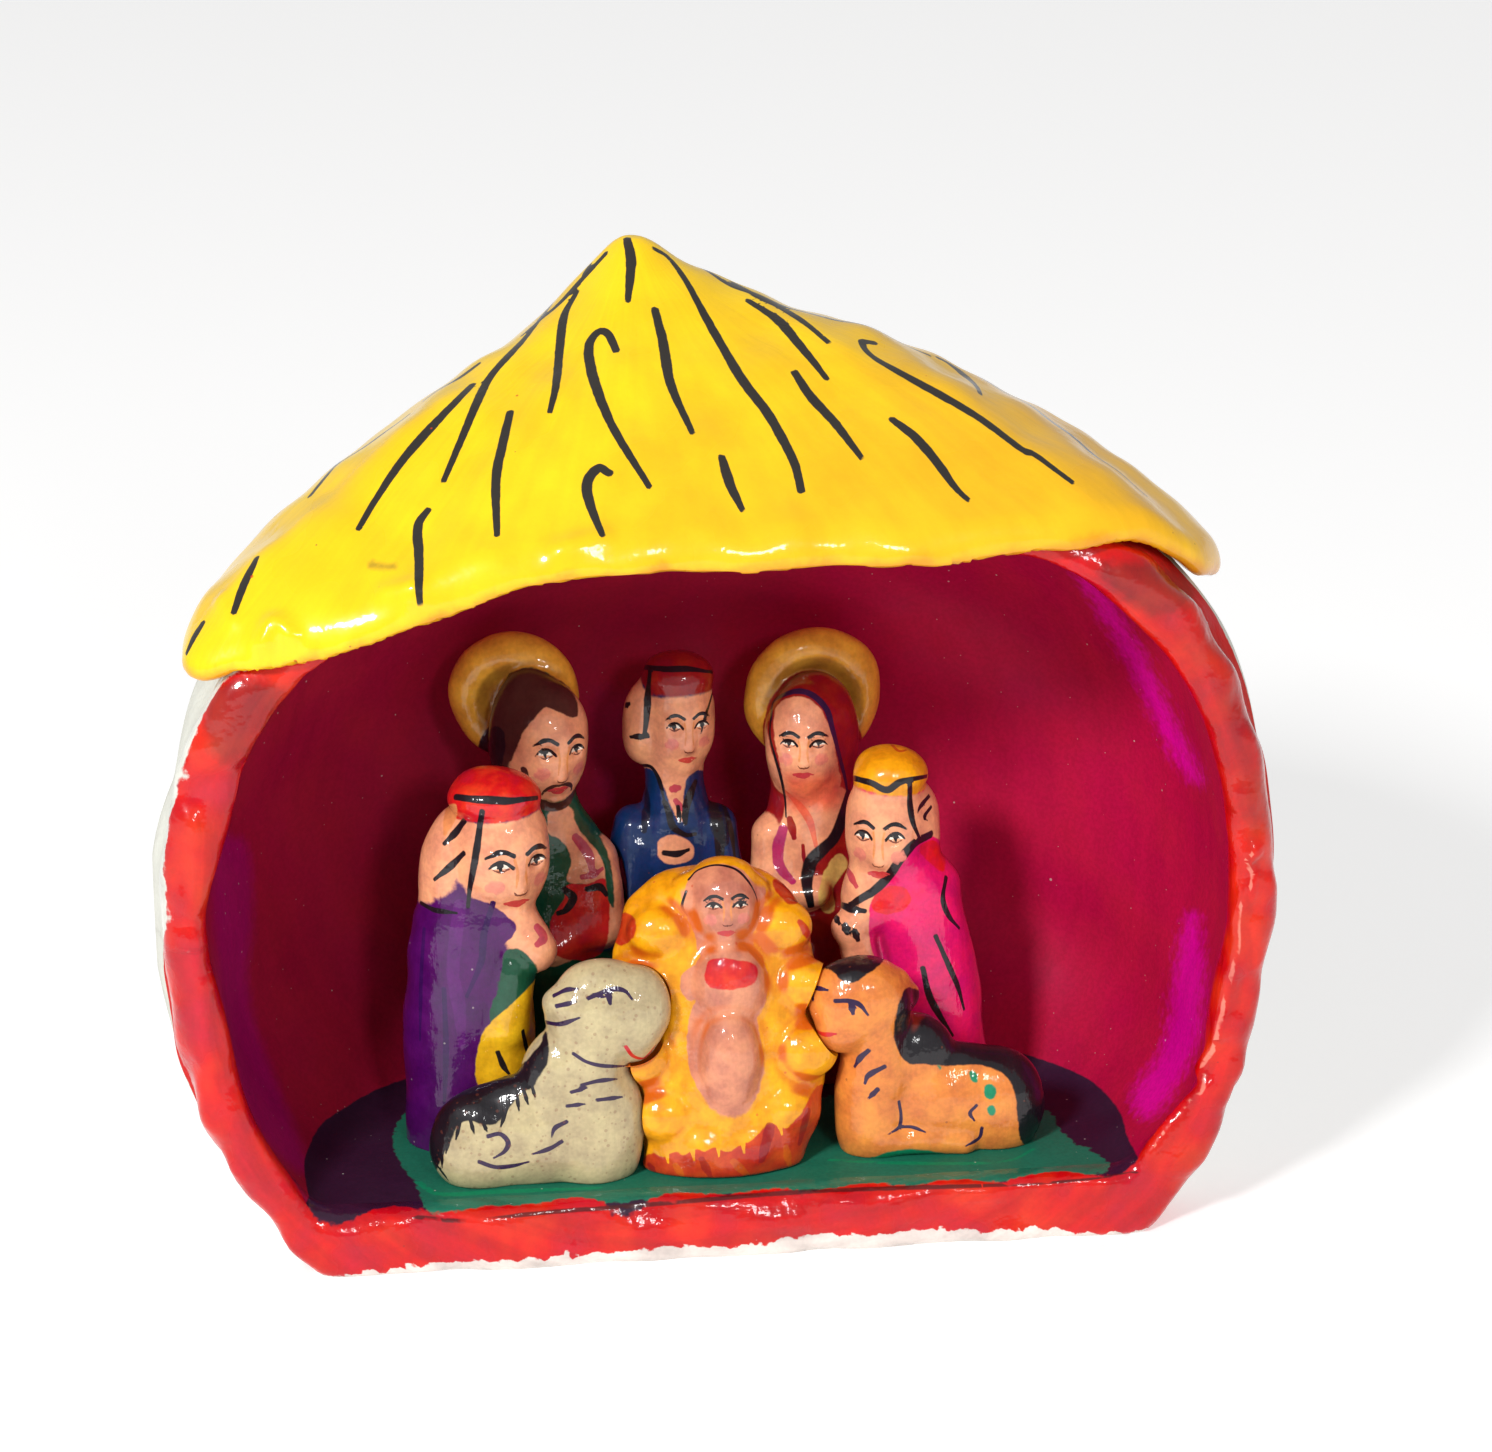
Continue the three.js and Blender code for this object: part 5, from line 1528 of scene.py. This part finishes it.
def buildShell():
    low, high = boundsOf("hut_shell")
    points, faces = surfaceOf(shellField, low - 0.6, high + 0.6, hut["step"])
    points = sculpt(points, faces, shellPaint["ridges"], 1)
    points = sculpt(points, faces, shellPaint["dents"], -1)
    points = np.clip(points, np.array(cadLow) / mm - toFrame + 0.02, np.array(cadHigh) / mm - toFrame - 0.02)
    outward = outwardOf(points, faces)
    tree = BVHTree.FromPolygons(points.tolist(), faces.tolist())
    shown = openToView(tree, points, faces, outward)
    pixels = toPixels(points)
    x, y, z = points.T
    inner = -hutField(points, hut["wallThickness"] / 2)  # positive on the room's side of the wall

    def patch(marks):
        return np.minimum(np.max([patchDepth(pixels, outline) for outline in marks], axis=0) / pixelsPerMm, shown)

    ground = np.minimum(floorTop + 0.9 + 0.08 * ripple(points, 9, 31) - z, inner * 3)
    wrap = shellPaint["wrapLeft"] + (shellPaint["wrapRight"] - shellPaint["wrapLeft"]) * smooth((x + 22) / 20)
    wrap = np.maximum(wrap, 4 * smooth((30 - z) / 8))
    within = shellPaint["rimDepth"] - 0.8 * smooth((floorTop + 4 - z) / 3)
    rimEdge = np.where(inner > 0, within, wrap) + 0.3 * ripple(points, 7, 32)
    chips = 1.0 + 0.6 * ripple(points * np.array([1, 1, 0.3]), 6, 33) + 0.35 * ripple(points, 1.6, 34)
    wornAt, wornLevel = zip(*shellPaint["wornEdge"])
    worn = np.interp(x, wornAt, wornLevel) + 0.22 * ripple(points, 1.3, 37) + 0.12 * ripple(points, 6, 33)
    bright = [photoStroke(tree, marks, width) for marks, width in shellPaint["brightGreen"]]
    seam = [photoStroke(tree, marks, width) for marks, width in shellPaint["seam"]]
    brightSide, brightNear = strokeAmounts(points, shown, bright)
    seamSide, seamNear = strokeAmounts(points, shown, seam)
    ridgeHighlight = [photoStroke(tree, marks, width) for marks, width in shellPaint["ridgeHighlightLine"]]
    ridgeHighlightSide, ridgeHighlightNear = strokeAmounts(points, shown, ridgeHighlight)
    attributes = {
        # Rosier towards the right: the wall's own colour, with painted light on the side the lamps reach.
        "roseAndLitWall": (x - 6) / 12 + 0.3 * ripple(points, 9, 35),
        "magenta": patch(shellPaint["magenta"]),
        "violet": patch(shellPaint["violet"]),
        "betweenFigures": patch(shellPaint["betweenFigures"]),
        "ground": ground,
        "green": np.minimum(patch(shellPaint["green"]), ground + 0.3),
        "brightSide": brightSide,
        "brightNear": brightNear,
        "rim": rimEdge - y,
        "brick": patch(shellPaint["brick"]),
        "shade": patch(shellPaint["shade"]),
        "ridgeHighlightSide": ridgeHighlightSide,
        "ridgeHighlightNear": ridgeHighlightNear,
        "seamSide": seamSide,
        "seamNear": seamNear,
        "primer": np.minimum(-inner * 2, y - rimEdge * 0.8),
        "chips": np.minimum(worn + (chips - worn) * smooth((y - 6) / 4) - z, np.maximum(1.2 - inner * 2, 3 - z)),
        "hollow": hollowOf(tree, points, outward, 1.5),
        "sweepAlong": np.arctan2(z - hut["widestHeight"], x) * 36,
        "sweepAcross": y - hutField(np.stack([x, np.full_like(x, hut["wallDepth"] / 2), z], -1), 0),
    }
    layers = [
        # Wall colour and painted light, rosier to the right.
        {"colour": "rose and lit wall", "kind": "patch", "names": ["roseAndLitWall"], "soft": 1.6, "ragged": 0.4},
        {"colour": "magenta wall", "kind": "patch", "names": ["magenta"], "soft": 1.5, "ragged": 2.0, "strength": 0.92},
        {"colour": "violet wall", "kind": "patch", "names": ["betweenFigures"], "soft": 2.4, "ragged": 2.0, "strength": 0.3},
        {"colour": "violet wall", "kind": "patch", "names": ["violet"], "soft": 1.2, "ragged": 0.6, "strength": 0.8},
        {"colour": "floor purple", "kind": "patch", "names": ["ground"], "soft": 0.12, "ragged": 0.12},
        {"colour": "floor green", "kind": "patch", "names": ["green"], "soft": 0.15, "ragged": 0.8},
        {"colour": "brightGreen", "kind": "stroke", "names": ["brightSide", "brightNear"], "soft": 0.3},
        {"colour": "vermilion", "kind": "patch", "names": ["rim"], "soft": 0.2, "ragged": 0.7},
        # Painted highlight along the ridge, over pale paint.
        {"colour": "ridgeHighlight", "kind": "stroke", "names": ["ridgeHighlightSide", "ridgeHighlightNear"], "soft": 0.4, "strength": 0.6},
        {"colour": "brick", "kind": "patch", "names": ["shade"], "soft": 2.0, "ragged": 2.0, "strength": 0.4},
        # Painted shade of the rim under the roof's edge.
        {"colour": "brick", "kind": "patch", "names": ["brick"], "soft": 1.2, "ragged": 1.2, "strength": 0.8},
        {"colour": "seam", "kind": "stroke", "names": ["seamSide", "seamNear"], "soft": 0.4, "strength": 0.85},
        {"colour": "primer", "kind": "patch", "names": ["primer"], "soft": 0.2, "ragged": 0.8},
        {"colour": "chalk", "kind": "patch", "names": ["chips"], "soft": 0.12, "ragged": 0.9},
    ]
    rimFinish = {"roughness": 0.3, "coat": 0.6, "coatRoughness": 0.05, "bump": 0.9, "sweep": (14.0, 1.0), "variation": (0.16, 0.16, 0.03),
                 "hue": 0.006, "shadeAndPool": 0.3, "patchSize": 4.0, "dots": [(0.12, 1.8, 0.7, "brick", 0.6)]}
    wallFinish = {"roughness": 0.6, "coat": 0.02, "coatRoughness": 0.3, "bump": 0.2, "sweep": (14.0, 2.2), "variation": (0.06, 0.03, 0.07),
                  "hue": 0.003, "shadeAndPool": 0.35, "patchSize": 5.0,
                  "dots": [(0.09, 1.1, 0.86, "primer", 0.5), (0.14, 3.5, 0.8, "primer", 0.4), (0.06, 0.6, 0.9, "primer", 0.3)]}
    primerFinish = {"roughness": 0.75, "coat": 0.0, "bump": 0.8, "sweep": (10.0, 1.5), "variation": (0.05, 0.06, 0.03), "hue": 0.004, "grain": 0.05,
                    "shadeAndPool": 0.2, "patchSize": 4.0, "shadeAndPoolColour": "smudge", "dots": [(0.18, 2.4, 0.75, "smudge", 0.35)]}
    materials = [paintMaterial(name, "crimson", layers, finish) for name, finish in (
        ("rim_paint", rimFinish), ("wall_paint", wallFinish), ("primer_paint", primerFinish))]
    faceInner, faceDepth = inner[faces].mean(1), y[faces].mean(1)
    index = np.where(faceDepth < 2.0, 0, np.where(faceInner > 0, 1, 2)).astype(np.int32)
    return meshPiece("hut_shell_painted", points, faces, attributes, materials, index)


placeFigures()
pieces = {"hut_shell": buildShell(), "thatched_roof": buildRoof(), **buildFigures()}
for node, piece in pieces.items():
    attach(piece, "root")
    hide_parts(node)
print("pieces made")

camera = bpy.data.cameras.new("camera")
camera.lens, camera.sensor_width, camera.clip_start = cameraView["lens"], cameraView["sensor"], 0.01
cameraObject = bpy.data.objects.new("camera", camera)
cameraObject.location = Vector(cameraPlace * mm)
cameraObject.rotation_mode = "QUATERNION"
cameraObject.rotation_quaternion = Vector(-cameraBack).to_track_quat("-Z", "Y")
bpy.context.collection.objects.link(cameraObject)
bpy.context.scene.camera = cameraObject


def buildFloor():
    mesh = bpy.data.meshes.new("floor")
    mesh.from_pydata([(-3, -2, 0), (3, -2, 0), (3, 4, 0), (-3, 4, 0)], [], [(0, 1, 2, 3)])
    material = bpy.data.materials.new("floor")
    material.use_nodes = True
    shader = material.node_tree.nodes["Principled BSDF"]
    shader.inputs["Base Color"].default_value = (0.8, 0.795, 0.79, 1)
    shader.inputs["Roughness"].default_value = 0.6
    shader.inputs["Emission Color"].default_value = (1, 1, 1, 1)
    shader.inputs["Emission Strength"].default_value = 0.42
    mesh.materials.append(material)
    floor = bpy.data.objects.new("floor", mesh)
    bpy.context.collection.objects.link(floor)


studio = {
    "world": 0.45,
    "lights": {
        "key": {"place": (-0.3, -0.4, 0.38), "size": 0.09, "power": 2.7},
        "front": {"place": (0.12, -0.6, 0.3), "size": 0.08, "power": 0.7},
    },
}


def buildStudio():
    world = bpy.data.worlds.new("studio")
    world.use_nodes = True
    background = world.node_tree.nodes["Background"].inputs
    background["Color"].default_value = (1, 1, 1, 1)
    background["Strength"].default_value = studio["world"]
    bpy.context.scene.world = world
    bpy.context.scene.view_settings.view_transform = "Standard"
    for name, light in studio["lights"].items():
        lamp = bpy.data.lights.new(name, "AREA")
        lamp.size, lamp.energy = light["size"], light["power"]
        lampObject = bpy.data.objects.new(name, lamp)
        lampObject.location = light["place"]
        lampObject.rotation_mode = "QUATERNION"
        lampObject.rotation_quaternion = (Vector((0, 0, 0.03)) - Vector(light["place"])).to_track_quat("-Z", "Y")
        bpy.context.collection.objects.link(lampObject)


buildFloor()
buildStudio()
